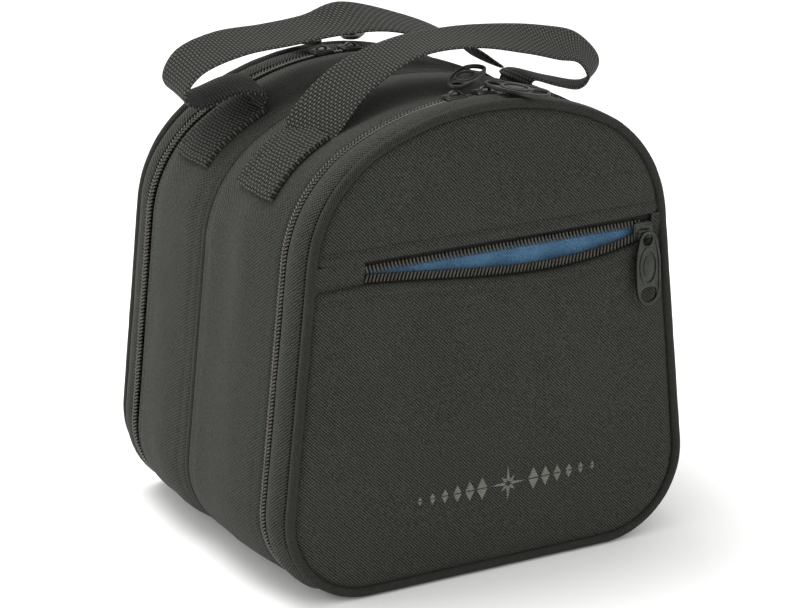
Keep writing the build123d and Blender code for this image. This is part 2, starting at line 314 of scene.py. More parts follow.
def raised(rows: np.ndarray, y: float, lift: np.ndarray) -> np.ndarray:
    """Points of an outline at one depth, moved out along their normals."""
    return np.column_stack([rows[:, 0] + rows[:, 2] * lift, np.full(len(rows), y), rows[:, 1] + rows[:, 3] * lift])


def sleeve_points(
    station_at: Callable[[float], Station],
    depths: Sequence[float],
    rise: Callable[[float, float, float], float],
    gap: float = 0.0,
) -> tuple[np.ndarray, np.ndarray, np.ndarray]:
    """Points of a sleeve that follows the outline through several depths.

    Args:
        station_at: Outline at a depth.
        depths: The depths of the columns.
        rise: Extra distance outwards at x, y, z.
        gap: Half width left open at the base.

    Returns:
        Points, normals and UVs, each U by V.
    """
    points, normals, uvs = [], [], []
    run = 0.0
    last = None
    for y in depths:
        rows = loaf(station_at(y), 0.0, gap)
        lift = np.array([rise(x, y, z) for x, z in rows[:, :2]])
        low = rows[:, 3] < -0.9
        lift = np.where(low, np.minimum(lift, 0.0), lift)
        column = raised(rows, y, lift)
        if last is not None:
            run += float(np.median(np.linalg.norm(column - last, axis=1)))
        last = column
        points.append(column)
        normals.append(np.column_stack([rows[:, 2], np.zeros(len(rows)), rows[:, 3]]))
        uvs.append(np.column_stack([rows[:, 4] * MM, np.full(len(rows), run * MM)]))
    return (np.stack(points, axis=1), np.stack(normals, axis=1), np.stack(uvs, axis=1))


def ripple(x: float, y: float, z: float, size: float, seed: float) -> float:
    """Smooth noise from about -1 to 1 at a place, for folds of one size in millimetres."""
    return noise.noise(Vector((x / size + seed, y / size, z / size)))


def ripples(x: np.ndarray, y: np.ndarray, z: np.ndarray, size: float, seed: float) -> np.ndarray:
    """The ripple at each place of three arrays or numbers of one shape."""
    x, y, z = np.broadcast_arrays(x, y, z)
    values = [ripple(*place, size, seed) for place in zip(x.ravel(), y.ravel(), z.ravel())]
    return np.array(values).reshape(x.shape)


def between_points(p0: np.ndarray, p1: np.ndarray, p2: np.ndarray, p3: np.ndarray, t: float) -> np.ndarray:
    """Place on the smooth curve from p1 to p2, at a share t of the way."""
    return 0.5 * (2 * p1 + (p2 - p0) * t + (2 * p0 - 5 * p1 + 4 * p2 - p3) * t**2
                  + (3 * p1 - p0 - 3 * p2 + p3) * t**3)


def sheet_piece(name: str, x: np.ndarray, y: np.ndarray, z: np.ndarray, through: Sequence[float],
                flat_axes: tuple[int, int] = (0, 2)) -> bpy.types.Object:
    """Make one flat-cut sheet with a thickness.

    Args:
        name: Name of the piece.
        x: Places of its face across the bag, as a grid.
        y: Places of its face from front to rear.
        z: Heights of its face.
        through: Step from the face to the back of the sheet.
        flat_axes: The two axes that its weave follows.

    Returns:
        The sheet.
    """
    face = np.stack(np.broadcast_arrays(x, y, z), axis=2)
    return thick_grid(name, face, face + np.array(through), face[:, :, list(flat_axes)] * MM)


def instance_rows(name: str, unit: tuple[np.ndarray, list], frames: list[np.ndarray]) -> bpy.types.Object:
    """Copy one small shape to many places as one mesh.

    Args:
        name: Name of the piece.
        unit: Points and faces of the shape, in millimetres.
        frames: A 4 by 4 matrix for each copy.

    Returns:
        The joined piece.
    """
    points, faces = unit
    ones = np.column_stack([points, np.ones(len(points))])
    stack = np.concatenate([(ones @ m.T)[:, :3] for m in frames])
    every = [[v + n * len(points) for v in face] for n in range(len(frames)) for face in faces]
    return mesh_piece(name, stack, every)


def rounded_unit(size: tuple[float, float, float], bevel: float, segments: int = 1) -> tuple[np.ndarray, list]:
    """Model one rounded block and return its points and faces.

    Args:
        size: Length, width and height in millimetres.
        bevel: Width of the rounded edges.
        segments: Steps in each rounded edge.

    Returns:
        Points and faces for instance_rows.
    """
    deselect()
    bpy.ops.mesh.primitive_cube_add(size=1.0)
    block = bpy.context.object
    bpy.ops.object.mode_set(mode="EDIT")
    bpy.ops.mesh.select_all(action="SELECT")
    bpy.ops.transform.resize(value=size)
    bpy.ops.mesh.bevel(offset=bevel, segments=segments, affect="EDGES")
    bpy.ops.object.mode_set(mode="OBJECT")
    points = np.array([v.co[:] for v in block.data.vertices])
    faces = [list(p.vertices) for p in block.data.polygons]
    bpy.data.objects.remove(block, do_unlink=True)
    return points, faces


def frame_matrix(place: Sequence[float], along: Sequence[float], up: Sequence[float]) -> np.ndarray:
    """A matrix whose x axis runs along a direction and whose z axis is near up."""
    x = np.array(along, float) / np.linalg.norm(along)
    z = np.array(up, float) - np.dot(up, x) * x
    z /= np.linalg.norm(z)
    m = np.eye(4)
    m[:3, 0], m[:3, 1], m[:3, 2], m[:3, 3] = x, np.cross(z, x), z, place
    return m


def place_unit(name: str, unit: tuple[np.ndarray, list], frame: np.ndarray) -> bpy.types.Object:
    """Put one shape at one place as its own piece."""
    return instance_rows(name, unit, [frame])


def joined(name: str, parts: list[bpy.types.Object]) -> bpy.types.Object:
    """Join pieces into the first one and name it."""
    pick(parts[0])
    for part in parts[1:]:
        part.select_set(True)
    bpy.ops.object.join()
    parts[0].name = name
    parts[0].data.name = name
    return parts[0]


# ---- finishes -------------------------------------------------------------------
def linear(code: str) -> tuple[float, float, float, float]:
    """Turn an sRGB hex code into a linear colour."""
    values = [int(code[i : i + 2], 16) / 255 for i in (1, 3, 5)]
    return tuple(v / 12.92 if v <= 0.04045 else ((v + 0.055) / 1.055) ** 2.4 for v in values) + (1.0,)


def fill(tree: bpy.types.NodeTree, node: bpy.types.Node, inputs: dict | Sequence) -> None:
    """Fill or link the inputs of a node.

    Args:
        tree: Node tree of the node.
        node: The node.
        inputs: Values, nodes or output sockets, in order or keyed by name or number.
    """
    for key, value in inputs.items() if isinstance(inputs, dict) else enumerate(inputs):
        source = value.outputs[0] if isinstance(value, bpy.types.Node) else value
        if isinstance(source, bpy.types.NodeSocket):
            tree.links.new(source, node.inputs[key])
        else:
            node.inputs[key].default_value = source


def add_node(tree: bpy.types.NodeTree, kind: str, inputs: dict | Sequence = (), **settings) -> bpy.types.Node:
    """Add a node, set its options, and fill or link its inputs.

    Args:
        tree: Node tree to add to.
        kind: Node type, without its leading word.
        inputs: What fill takes.
        settings: Attributes of the node.

    Returns:
        The new node.
    """
    node = tree.nodes.new("ShaderNode" + kind)
    for key, value in settings.items():
        setattr(node, key, value)
    fill(tree, node, inputs)
    return node


def new_material(name: str) -> tuple[bpy.types.Material, bpy.types.NodeTree, bpy.types.Node]:
    """Make a material and return it with its tree and its shader."""
    material = bpy.data.materials.new(name)
    material.use_nodes = True
    tree = material.node_tree
    shader = next(n for n in tree.nodes if n.type == "BSDF_PRINCIPLED")
    return material, tree, shader


@dataclass(frozen=True)
class WovenCloth:
    """A plain-woven synthetic cloth whose threads follow the cut of each piece."""

    name: str
    dark: str
    light: str
    thread_mm: float
    relief_mm: float = 0.12
    roughness: float = 0.82
    sheen: float = 0.12
    mottle: float = 0.25

    def build(self) -> bpy.types.Material:
        """Make the material.

        Returns:
            The cloth, with thread crossings painted in its colour as shade and highlight, mottling and relief.
        """
        material, tree, shader = new_material(self.name)
        add = partial(add_node, tree)
        place = add("TexCoord").outputs["Object"]
        split = add("SeparateXYZ", [add("UVMap", uv_map="cloth")])
        turn = 2 * math.pi / (self.thread_mm * MM)
        wobble = add("TexNoise", {"Vector": place, "Scale": 380.0, "Detail": 2.0})
        shake = add("Math", [wobble, 3.4], operation="MULTIPLY")
        diagonal = add("Math", [split.outputs[0], split.outputs[1]], operation="ADD")
        waves = []
        for source in (split.outputs[0], split.outputs[1], diagonal):
            phase = add("Math", [source, turn, shake], operation="MULTIPLY_ADD")
            waves.append(add("Math", [phase], operation="SINE"))
        crossed = add("Math", waves[:2], operation="MULTIPLY")
        weave = add("Math", [waves[2], 0.4, crossed], operation="MULTIPLY_ADD")
        crossing = add("Math", [weave, 0.4, 0.5], operation="MULTIPLY_ADD")
        fleck = add("TexNoise", {"Vector": place, "Scale": 900.0, "Detail": 3.0})
        broad = add("TexNoise", {"Vector": place, "Scale": 22.0, "Detail": 4.0})
        # The weave's relief sets the colour here: painted shade between the threads and painted highlight on the
        # crossings; the fleck and broad noise below are random tone.
        tone = add("Math", [crossing, 0.8, -0.5 - self.mottle / 2], operation="MULTIPLY_ADD")
        for noise_node, share in ((fleck, 0.9), (broad, self.mottle)):
            tone = add("Math", [noise_node, share, tone], operation="MULTIPLY_ADD")
        base = add("Mix", {0: tone, 6: linear(self.dark), 7: linear(self.light)}, data_type="RGBA")
        height = add("Math", [fleck, 0.5, crossing], operation="MULTIPLY_ADD")
        bump = add("Bump", {"Strength": 0.8, "Distance": self.relief_mm * MM, "Height": height})
        fill(tree, shader, {
            "Base Color": base.outputs[2], "Normal": bump, "Roughness": self.roughness,
            "Specular IOR Level": 0.18, "Sheen Weight": self.sheen, "Sheen Roughness": 0.45,
        })
        return material


@dataclass(frozen=True)
class Webbing:
    """Heavy basket-woven polypropylene webbing, its humps painted bright as highlights and its gaps painted dark as
    shade.
    """

    name: str
    dark: str
    light: str
    along_mm: float = 2.2
    across_mm: float = 2.0

    def build(self) -> bpy.types.Material:
        """Make the material.

        Returns:
            The webbing, with staggered yarn humps, painted highlights on them and painted shade between them.
        """
        material, tree, shader = new_material(self.name)
        add = partial(add_node, tree)
        place = add("TexCoord").outputs["Object"]
        split = add("SeparateXYZ", [add("UVMap", uv_map="cloth")])
        wobble = add("TexNoise", {"Vector": place, "Scale": 120.0, "Detail": 2.0})
        shake = add("Math", [wobble, 0.5], operation="MULTIPLY")
        cells, humps = [], []
        for axis, pitch_mm in enumerate((self.along_mm, self.across_mm)):
            run = add("Math", [split.outputs[axis], 1 / (pitch_mm * MM), shake], operation="MULTIPLY_ADD")
            cells.append(add("Math", [run], operation="FLOOR"))
            angle = add("Math", [run, math.pi], operation="MULTIPLY")
            humps.append(add("Math", [add("Math", [angle], operation="SINE")], operation="ABSOLUTE"))
        over = add("Math", [add("Math", cells, operation="ADD"), 1.0], operation="PINGPONG")
        lift = add("Math", [over, 0.6, 0.4], operation="MULTIPLY_ADD")
        height = add("Math", [add("Math", humps, operation="MULTIPLY"), lift], operation="MULTIPLY")
        fibre = add("TexNoise", {"Vector": place, "Scale": 1100.0, "Detail": 3.0})
        # Colour follows the yarn height: painted highlight on the humps and painted shade in the gaps; the fibre noise
        # is random tone.
        tone = add("Math", [height, 1.9, -0.34], operation="MULTIPLY_ADD")
        tone = add("Math", [fibre, 0.3, tone], operation="MULTIPLY_ADD")
        base = add("Mix", {0: tone, 6: linear(self.dark), 7: linear(self.light)}, data_type="RGBA")
        bump = add("Bump", {"Strength": 1.0, "Distance": 0.8 * MM, "Height": height})
        fill(tree, shader, {
            "Base Color": base.outputs[2], "Normal": bump, "Roughness": 0.68, "Specular IOR Level": 0.12,
        })
        return material


@dataclass(frozen=True)
class SolidFinish:
    """A moulded, cast or foamed finish with fine grain and soft tone changes."""

    name: str
    colour: str
    rubbed_and_glint: str
    roughness: float
    metallic: float = 0.0
    grain_per_m: float = 900.0
    relief_mm: float = 0.05

    def build(self) -> bpy.types.Material:
        """Make the material.

        Returns:
            The finish, a little lighter where noise says it has rubbed; on the nylon coil the lighter colour is a
            painted glint.
        """
        material, tree, shader = new_material(self.name)
        add = partial(add_node, tree)
        place = add("TexCoord").outputs["Object"]
        grain = add("TexNoise", {"Vector": place, "Scale": self.grain_per_m, "Detail": 4.0})
        patch = add("TexNoise", {"Vector": place, "Scale": 140.0, "Detail": 3.0})
        share = add("Math", [patch, grain], operation="MULTIPLY")
        # The lighter colour is rubbed wear on the metal and a painted glint on the nylon coil.
        base = add("Mix", {0: share, 6: linear(self.colour), 7: linear(self.rubbed_and_glint)}, data_type="RGBA")
        rough = add("Math", [patch, 0.25, self.roughness - 0.12], operation="MULTIPLY_ADD")
        bump = add("Bump", {"Strength": 0.4, "Distance": self.relief_mm * MM, "Height": grain})
        fill(tree, shader, {
            "Base Color": base.outputs[2], "Normal": bump, "Roughness": rough, "Metallic": self.metallic,
        })
        return material


class Finish(Enum):
    """The finishes of the bag, each with the record's slot it belongs to."""

    SHELL = "shell_fabric"
    TRIM = "trim_fabric"
    LINING = "lining_fabric"
    FOAM = "foam"
    TAPE = "zip_tape"
    COIL = "zip_coil"
    METAL = "gunmetal"
    WEBBING = "webbing"
    THREAD = "emblem_thread"
    STITCH = "stitching"


# Polyester packcloth, plain woven and coated behind: matt, with diagonal rows of tiny crossings painted bright as
# highlights and painted shade between them.
# The real thread is 0.5 mm; it is drawn at 1.8 mm so that its crossings still show.
PACKCLOTH = WovenCloth("packcloth_woven", "#040503", "#474942", 1.8, relief_mm=0.22, mottle=0.12, sheen=0.02)
# The same cloth cut on the bias round a cord: finer, and a touch darker as painted shade for the grooves it lies in.
BIAS_BINDING = WovenCloth("bias_binding_woven", "#040503", "#3d3e38", 1.5, mottle=0.1, sheen=0.02)
# Nylon pack lining, plain woven and thin: bright blue with a little sheen.
PACK_LINING = WovenCloth("pack_lining_woven", "#17324d", "#54809f", 1.4, relief_mm=0.05, roughness=0.5, sheen=0.15)
# Zip tape, knitted polyester: dark of its own and darkened further with painted shade, so that the chain sits in a
# black channel.
ZIP_TAPE = SolidFinish("zip_tape_knitted", "#060606", "#121210", 0.85)
# Polypropylene webbing, basket woven: coarse humps in staggered rows, with painted highlights on the humps and painted
# shade in the dark gaps.
HEAVY_WEBBING = Webbing("webbing_basket_woven", "#010101", "#50514a", 1.9, 1.75)
# Nylon coil, extruded and heat-set: satin, with a painted brown glint scattered by noise over its turns.
NYLON_COIL = SolidFinish("nylon_coil_extruded", "#14130f", "#5f5a4d", 0.36)
# Zinc, die cast and gunmetal plated: dark satin metal with paler rubbed edges.
GUNMETAL = SolidFinish("zinc_die_cast_gunmetal", "#232521", "#5c5e58", 0.38, metallic=0.85, relief_mm=0.03)
# Polyester embroidery thread, satin stitched: pale grey with fine ridges.
EMBROIDERY = WovenCloth("embroidery_satin_stitched", "#4a4b45", "#7d7f76", 0.9, relief_mm=0.2, sheen=0.2)
# Sewing thread, twisted polyester: as dark as the cloth, seen by its shadow.
SEWING_THREAD = SolidFinish("sewing_thread_twisted", "#12130f", "#2c2d28", 0.7)
# Closed-cell foam, cut from sheet: dull and pitted.
CUT_FOAM = SolidFinish("foam_closed_cell_cut", "#1f1f1f", "#3a3a3a", 0.95, grain_per_m=1500.0, relief_mm=0.2)

RECIPES = {
    Finish.SHELL: PACKCLOTH,
    Finish.TRIM: BIAS_BINDING,
    Finish.LINING: PACK_LINING,
    Finish.FOAM: CUT_FOAM,
    Finish.TAPE: ZIP_TAPE,
    Finish.COIL: NYLON_COIL,
    Finish.METAL: GUNMETAL,
    Finish.WEBBING: HEAVY_WEBBING,
    Finish.THREAD: EMBROIDERY,
    Finish.STITCH: SEWING_THREAD,
}
BUILT: dict[Finish, bpy.types.Material] = {}


def dress(piece: bpy.types.Object, finish: Finish, body: str, nodes: Sequence[str] = ()) -> bpy.types.Object:
    """Give a piece its finish and the body it rides on, and hide the CAD nodes it stands for.

    Args:
        piece: The piece.
        finish: Its finish.
        body: Name of the CAD body, or an empty text to leave the piece free.
        nodes: CAD nodes it replaces.

    Returns:
        The same piece.
    """
    if finish not in BUILT:
        BUILT[finish] = RECIPES[finish].build()
    piece.data.materials.clear()
    piece.data.materials.append(BUILT[finish])
    if nodes:
        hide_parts(*nodes)
    if body:
        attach(piece, body)
    return piece


def stitch_row(name: str, places: np.ndarray, ups: np.ndarray, body: str, pitch: float = 3.4) -> None:
    """Sew a row of raised stitches along a line.

    Args:
        name: Name of the piece.
        places: Points along the row in millimetres.
        ups: Surface normal at each point.
        body: CAD body that the cloth rides on.
        pitch: Distance from stitch to stitch.
    """
    steps = np.linalg.norm(np.diff(places, axis=0), axis=1)
    run = np.concatenate([[0.0], np.cumsum(steps)])
    centres = np.arange(pitch / 2, run[-1], pitch)
    unit = rounded_unit((pitch * 0.68, 0.62, 0.5), 0.18)
    frames = []
    for s in centres:
        a, b, c = ([np.interp(s + d, run, places[:, k]) for k in range(3)] for d in (-0.6, 0.0, 0.6))
        up = [np.interp(s, run, ups[:, k]) for k in range(3)]
        frames.append(frame_matrix(b, np.subtract(c, a), up))
    dress(instance_rows(name, unit, frames), Finish.STITCH, body)


# ---- gussets ------------------------------------------------------------------
@dataclass
class Gusset:
    """One padded side wall of a compartment, from its zip to the middle seam."""

    name: str
    first: Station
    puff: Station
    last: Station
    zip_at_first: bool
    thickness: float = 3.6
    columns: int = 34
    seed: float = 1.0
    depths: list[float] = field(default_factory=list)

    def outline(self, y: float) -> Station:
        """Return the swollen outline at a depth."""
        return swollen(self.first, self.puff, self.last, y)

    def rise(self, x: float, y: float, z: float) -> float:
        """Return the folds and rolled edges of the cloth at a place."""
        zip_y = self.first.y if self.zip_at_first else self.last.y
        seam_y = self.last.y if self.zip_at_first else self.first.y
        from_zip, from_seam = abs(y - zip_y), abs(y - seam_y)
        middle = min(1.0, from_zip / 14, from_seam / 14)
        high = max(0.0, min(1.0, (z - 120) / 90))
        folds = ripple(x, y * 1.8, z * 0.6, 46.0, self.seed) * (0.8 + 1.5 * high)
        folds += ripple(x, y, z, 17.0, self.seed + 9) * 0.35
        rolled = -2.0 * math.exp(-from_zip / 1.3) - 2.2 * math.exp(-from_seam / 2.0)
        groove = -0.5 * math.exp(-(((from_seam - 7.5) / 1.3) ** 2))
        groove -= 0.4 * math.exp(-(((from_zip - 6.0) / 1.2) ** 2))
        return folds * middle + rolled + groove

    def build(self) -> bpy.types.Object:
        """Make the padded wall.

        Returns:
            The padded wall.
        """
        at_zip, at_seam = 0.5, 0.1
        low = self.first.y + (at_zip if self.zip_at_first else at_seam)
        high = self.last.y - (at_seam if self.zip_at_first else at_zip)
        share = np.linspace(0, 1, self.columns)
        eased = (1 - np.cos(share * math.pi)) / 2 * 0.5 + share * 0.5
        self.depths = list(low + (high - low) * eased)
        outer, normals, uv = sleeve_points(self.outline, self.depths, self.rise)
        inner = outer - normals * self.thickness
        wall = thick_grid(self.name, outer, inner, uv, wrap=True)
        dress(wall, Finish.SHELL, ROOT, [self.name])
        return wall

    def line(self, depth_low: float, depth_high: float) -> None:
        """Lay the blue lining inside the wall.

        Args:
            depth_low: Lowest y of the lining.
            depth_high: Highest y of the lining.
        """
        depths = np.linspace(depth_low, depth_high, 14)
        outer, normals, uv = sleeve_points(
            self.outline, depths, lambda x, y, z: -5.0 + 0.3 * ripple(x, y, z, 30.0, self.seed)
        )
        name = self.name + "_lining"
        outer[:, :, 2] = np.maximum(outer[:, :, 2], 4.9)
        lining = thick_grid(name, outer, outer - normals * 0.5, uv, wrap=True)
        dress(lining, Finish.LINING, ROOT, [name])

    def sew(self, name: str, offset: float) -> None:
        """Sew a row of topstitch beside one edge.

        Args:
            name: Name of the row.
            offset: Distance from the lower edge if positive, from the upper if negative.
        """
        y = self.first.y + offset if offset > 0 else self.last.y + offset
        rows = loaf(self.outline(y), 0.0, ZIP_GAP + 14)
        lift = np.array([self.rise(x, y, z) for x, z in rows[:, :2]]) + 0.1
        places = raised(rows, y, lift)
        stitch_row(name, places, np.column_stack([rows[:, 2], np.zeros(len(rows)), rows[:, 3]]), ROOT)


# ---- lid zips -------------------------------------------------------------------
@dataclass
class LidZip:
    """A coil zip that runs round a lid, one half on the gusset and one on the lid."""

    station: Station
    gusset_side: int
    label: str
    lid: str
    pitch: float = 2.0
    tooth: tuple[float, float, float] = (1.15, 3.2, 2.2)
    inset: float = 0.2

    def half(self, name: str, side: int, body: str, shift: float) -> None:
        """Set the teeth of one half along the outline.

        Args:
            name: Name of the piece and of the CAD node it replaces.
            side: Direction in y from the chain's middle, 1 or -1.
            body: CAD body.
            shift: Share of a pitch by which this half is moved along.
        """
        rows = loaf(self.station, self.inset, ZIP_GAP, fine=3)
        run = rows[:, 4]
        unit = rounded_unit(self.tooth, 0.5)
        frames = []
        for s in np.arange((0.5 + shift) * self.pitch, run[-1] - 1, self.pitch):
            x, z, nx, nz = (float(np.interp(s, run, rows[:, k])) for k in range(4))
            slant = 0.55 * side
            along = (-nz * math.cos(slant), math.sin(slant), nx * math.cos(slant))
            frames.append(frame_matrix((x, self.station.y + side * 1.4, z), along, (nx, 0.0, nz)))
        dress(instance_rows(name, unit, frames), Finish.COIL, body, [name])

    def build(self) -> None:
        """Make both halves of the chain."""
        self.half(self.label + "_gusset_coil", self.gusset_side, ROOT, 0.0)
        self.half(self.label + "_lid_coil", -self.gusset_side, self.lid, 0.5)


# ---- lids -----------------------------------------------------------------------
@dataclass
class Lid:
    """A padded zip-round lid: band, piping, panel and lining."""

    label: str
    body: str
    piping: Station
    band_zip: Station
    band_end: Station
    outward: int
    piping_radius: float = 2.6
    seed: float = 3.0

    def band_outline(self, y: float) -> Station:
        """Return the outline of the band at a depth."""
        low, high = self.band_zip, self.band_end
        return low.mixed(high, (y - low.y) / (high.y - low.y), y)

    def band_rise(self, x: float, y: float, z: float) -> float:
        """Return how far the padded roll of the band stands out at a place."""
        share = abs(y - self.band_zip.y) / abs(self.band_end.y - self.band_zip.y)
        roll = 5.8 * math.sin(math.pi * min(1.0, max(0.0, share))) ** 0.5 - 3.8
        wave = ripple(x, y * 0.4, z, 24.0, self.seed) * 0.45 + ripple(x, y, z, 60.0, self.seed) * 0.4
        return roll + wave * math.sin(math.pi * min(1.0, max(0.0, share)))

    def build_band(self) -> None:
        """Make the padded roll between the zip and the piping."""
        name = self.label + "_lid_band"
        start = self.band_zip.y + self.outward * 3.9
        share = (1 - np.cos(np.linspace(0, math.pi, 16))) / 2
        depths = start + (self.band_end.y - self.outward * 1.9 - start) * share
        outer, normals, uv = sleeve_points(self.band_outline, depths, self.band_rise, ZIP_GAP)
        band = thick_grid(name, outer, outer - normals * 3.2, uv)
        dress(band, Finish.SHELL, self.body, [name])

    def build_piping(self) -> None:
        """Make the covered cord that edges the panel."""
        name = self.label + "_lid_piping"
        rows = loaf(self.piping, 1.1, fine=2)
        turns = np.linspace(0, 2 * math.pi, 15)[:-1]
        rings = []
        for x, z, nx, nz, s in rows:
            swell = self.piping_radius * (1.0 + 0.05 * ripple(x, 0, z, 9.0, self.seed))
            drop = min(0.0, z - swell) * (nz < -0.5)
            rings.append([
                (x + nx * swell * math.cos(t), self.piping.y + swell * math.sin(t), z - drop + nz * swell * math.cos(t))
                for t in turns
            ])
        count, sides = len(rings), len(turns)
        length = rows[-1, 4] + 1
        faces, uvs = [], []
        for i in range(count):
            k = (i + 1) % count
            s0, s1 = rows[i, 4] * MM, (rows[k, 4] if k else length) * MM
            for j in range(sides):
                m = (j + 1) % sides
                faces.append([i * sides + j, k * sides + j, k * sides + m, i * sides + m])
                t0, t1 = (v * self.piping_radius * 2 * math.pi / sides * MM for v in (j, j + 1))
                uvs.append([(s0, t0), (s1, t0), (s1, t1), (s0, t1)])
        piece = mesh_piece(name, np.array(rings).reshape(-1, 3), faces, uvs)
        dress(piece, Finish.TRIM, self.body, [name])

    def face(self, x: np.ndarray, z: np.ndarray) -> np.ndarray:
        """Distance of the panel's outer face from the middle plane of the bag.

        Args:
            x: Places across the panel.
            z: Heights on the panel.

        Returns:
            The signed y of the face at each place.
        """
        middle = self.piping.top / 2
        dome = (1 - (x / 112.0) ** 2) * (1 - ((z - middle) / (middle - 4)) ** 2)
        rows = loaf(self.piping, 2.0, fine=2)
        edge = np.full(x.shape, 1e9)
        for px, pz in rows[:, :2]:
            edge = np.minimum(edge, np.hypot(x - px, z - pz))
        folds = ripples(x, 0, z, 55.0, self.seed + 2) * 0.8
        folds += ripples(x * 0.5 + z, 0, z - x * 0.3, 21.0, self.seed) * 0.25
        out = 1.6 + 2.6 * np.clip(dome, 0, 1) ** 0.6 + folds * np.clip(edge / 25, 0, 1)
        out -= 5.0 * np.exp(-edge / 1.9)
        return self.piping.y + self.outward * out

    def panel(self, name: str, low: float, high: float, sag: Callable[[np.ndarray], np.ndarray] | None,
              hem_top: bool, hem_low: bool, rows: int) -> bpy.types.Object:
        """Make a padded panel cut to the outline between two heights.

        Args:
            name: Name of the piece and of the CAD node it replaces.
            low: Lowest height.
            high: Highest height.
            sag: Height of the upper edge at each x, or None for a level edge.
            hem_top: True if the upper edge is a sewn hem.
            hem_low: True if the lower edge is a sewn hem.
            rows: Number of rows of the grid.

        Returns:
            The panel.
        """
        share = np.linspace(0, 1, rows)
        share = share * 0.45 + (1 - np.cos(share * math.pi)) / 2 * 0.55
        heights = low + (high - low) * share
        widths = np.maximum(half_width_at(self.piping, 2.5, heights), 2.0)
        across = np.sin(np.linspace(-1, 1, 97) * math.pi / 2) * 0.35 + np.linspace(-1, 1, 97) * 0.65
        x = widths[:, None] * across[None, :]
        z = np.repeat(heights[:, None], len(across), axis=1)
        if sag:
            z = z + (share[:, None] ** 5) * (sag(x) - high)
        y = self.face(x, z)
        top = sag(x) if sag else np.full(x.shape, high)
        for wanted, distance in ((hem_top, top - z), (hem_low, z - low)):
            if wanted:
                y -= self.outward * 1.5 * np.exp(-np.maximum(distance, 0) / 0.9)
                y -= self.outward * 0.45 * np.exp(-(((distance - 6.5) / 1.1) ** 2))
                y += self.outward * 0.5 * np.exp(-(((distance - 3.2) / 2.0) ** 2))
        piece = sheet_piece(name, x, y, z, (0.0, -self.outward * 2.0, 0.0))
        dress(piece, Finish.SHELL, self.body, [name])
        return piece

    def build_lining(self, y: float) -> None:
        """Cover the inside of the panel with lining.

        Args:
            y: Depth of the lining's visible face.
        """
        name = self.label + "_panel_lining"
        heights = np.linspace(self.piping.base + 7.7, self.piping.top - 7.7, 60)
        widths = np.maximum(half_width_at(self.piping, 7.6, heights), 2.0)
        across = np.linspace(-1, 1, 41)
        x = widths[:, None] * across[None, :]
        z = np.repeat(heights[:, None], len(across), axis=1)
        face = y + ripples(x, 0, z, 38.0, self.seed) * 0.35
        piece = sheet_piece(name, x, face, z, (0.0, self.outward * 0.5, 0.0))
        dress(piece, Finish.LINING, self.body, [name])


# ---- pocket ---------------------------------------------------------------------
LOWER_ROW = np.array([(-74, 175), (-20, 169.5), (32, 166), (70, 169), (92, 174)])
UPPER_ROW = 179.7


def lower_row_height(x: np.ndarray) -> np.ndarray:
    """Height of the sagging lower row of the pocket zip at each x."""
    fit = np.polyfit(LOWER_ROW[:, 0], LOWER_ROW[:, 1], 3)
    return np.polyval(fit, np.clip(x, -74, 92))


def lower_lip(x: np.ndarray) -> np.ndarray:
    """Height of the hem under the pocket zip at each x."""
    inside = lower_row_height(x) - 3.4
    ends = 171.2
    left = np.clip((x + 99) / 25, 0, 1)
    right = np.clip((104 - x) / 12, 0, 1)
    share = np.minimum(left, right)
    return inside * share + ends * (1 - share)


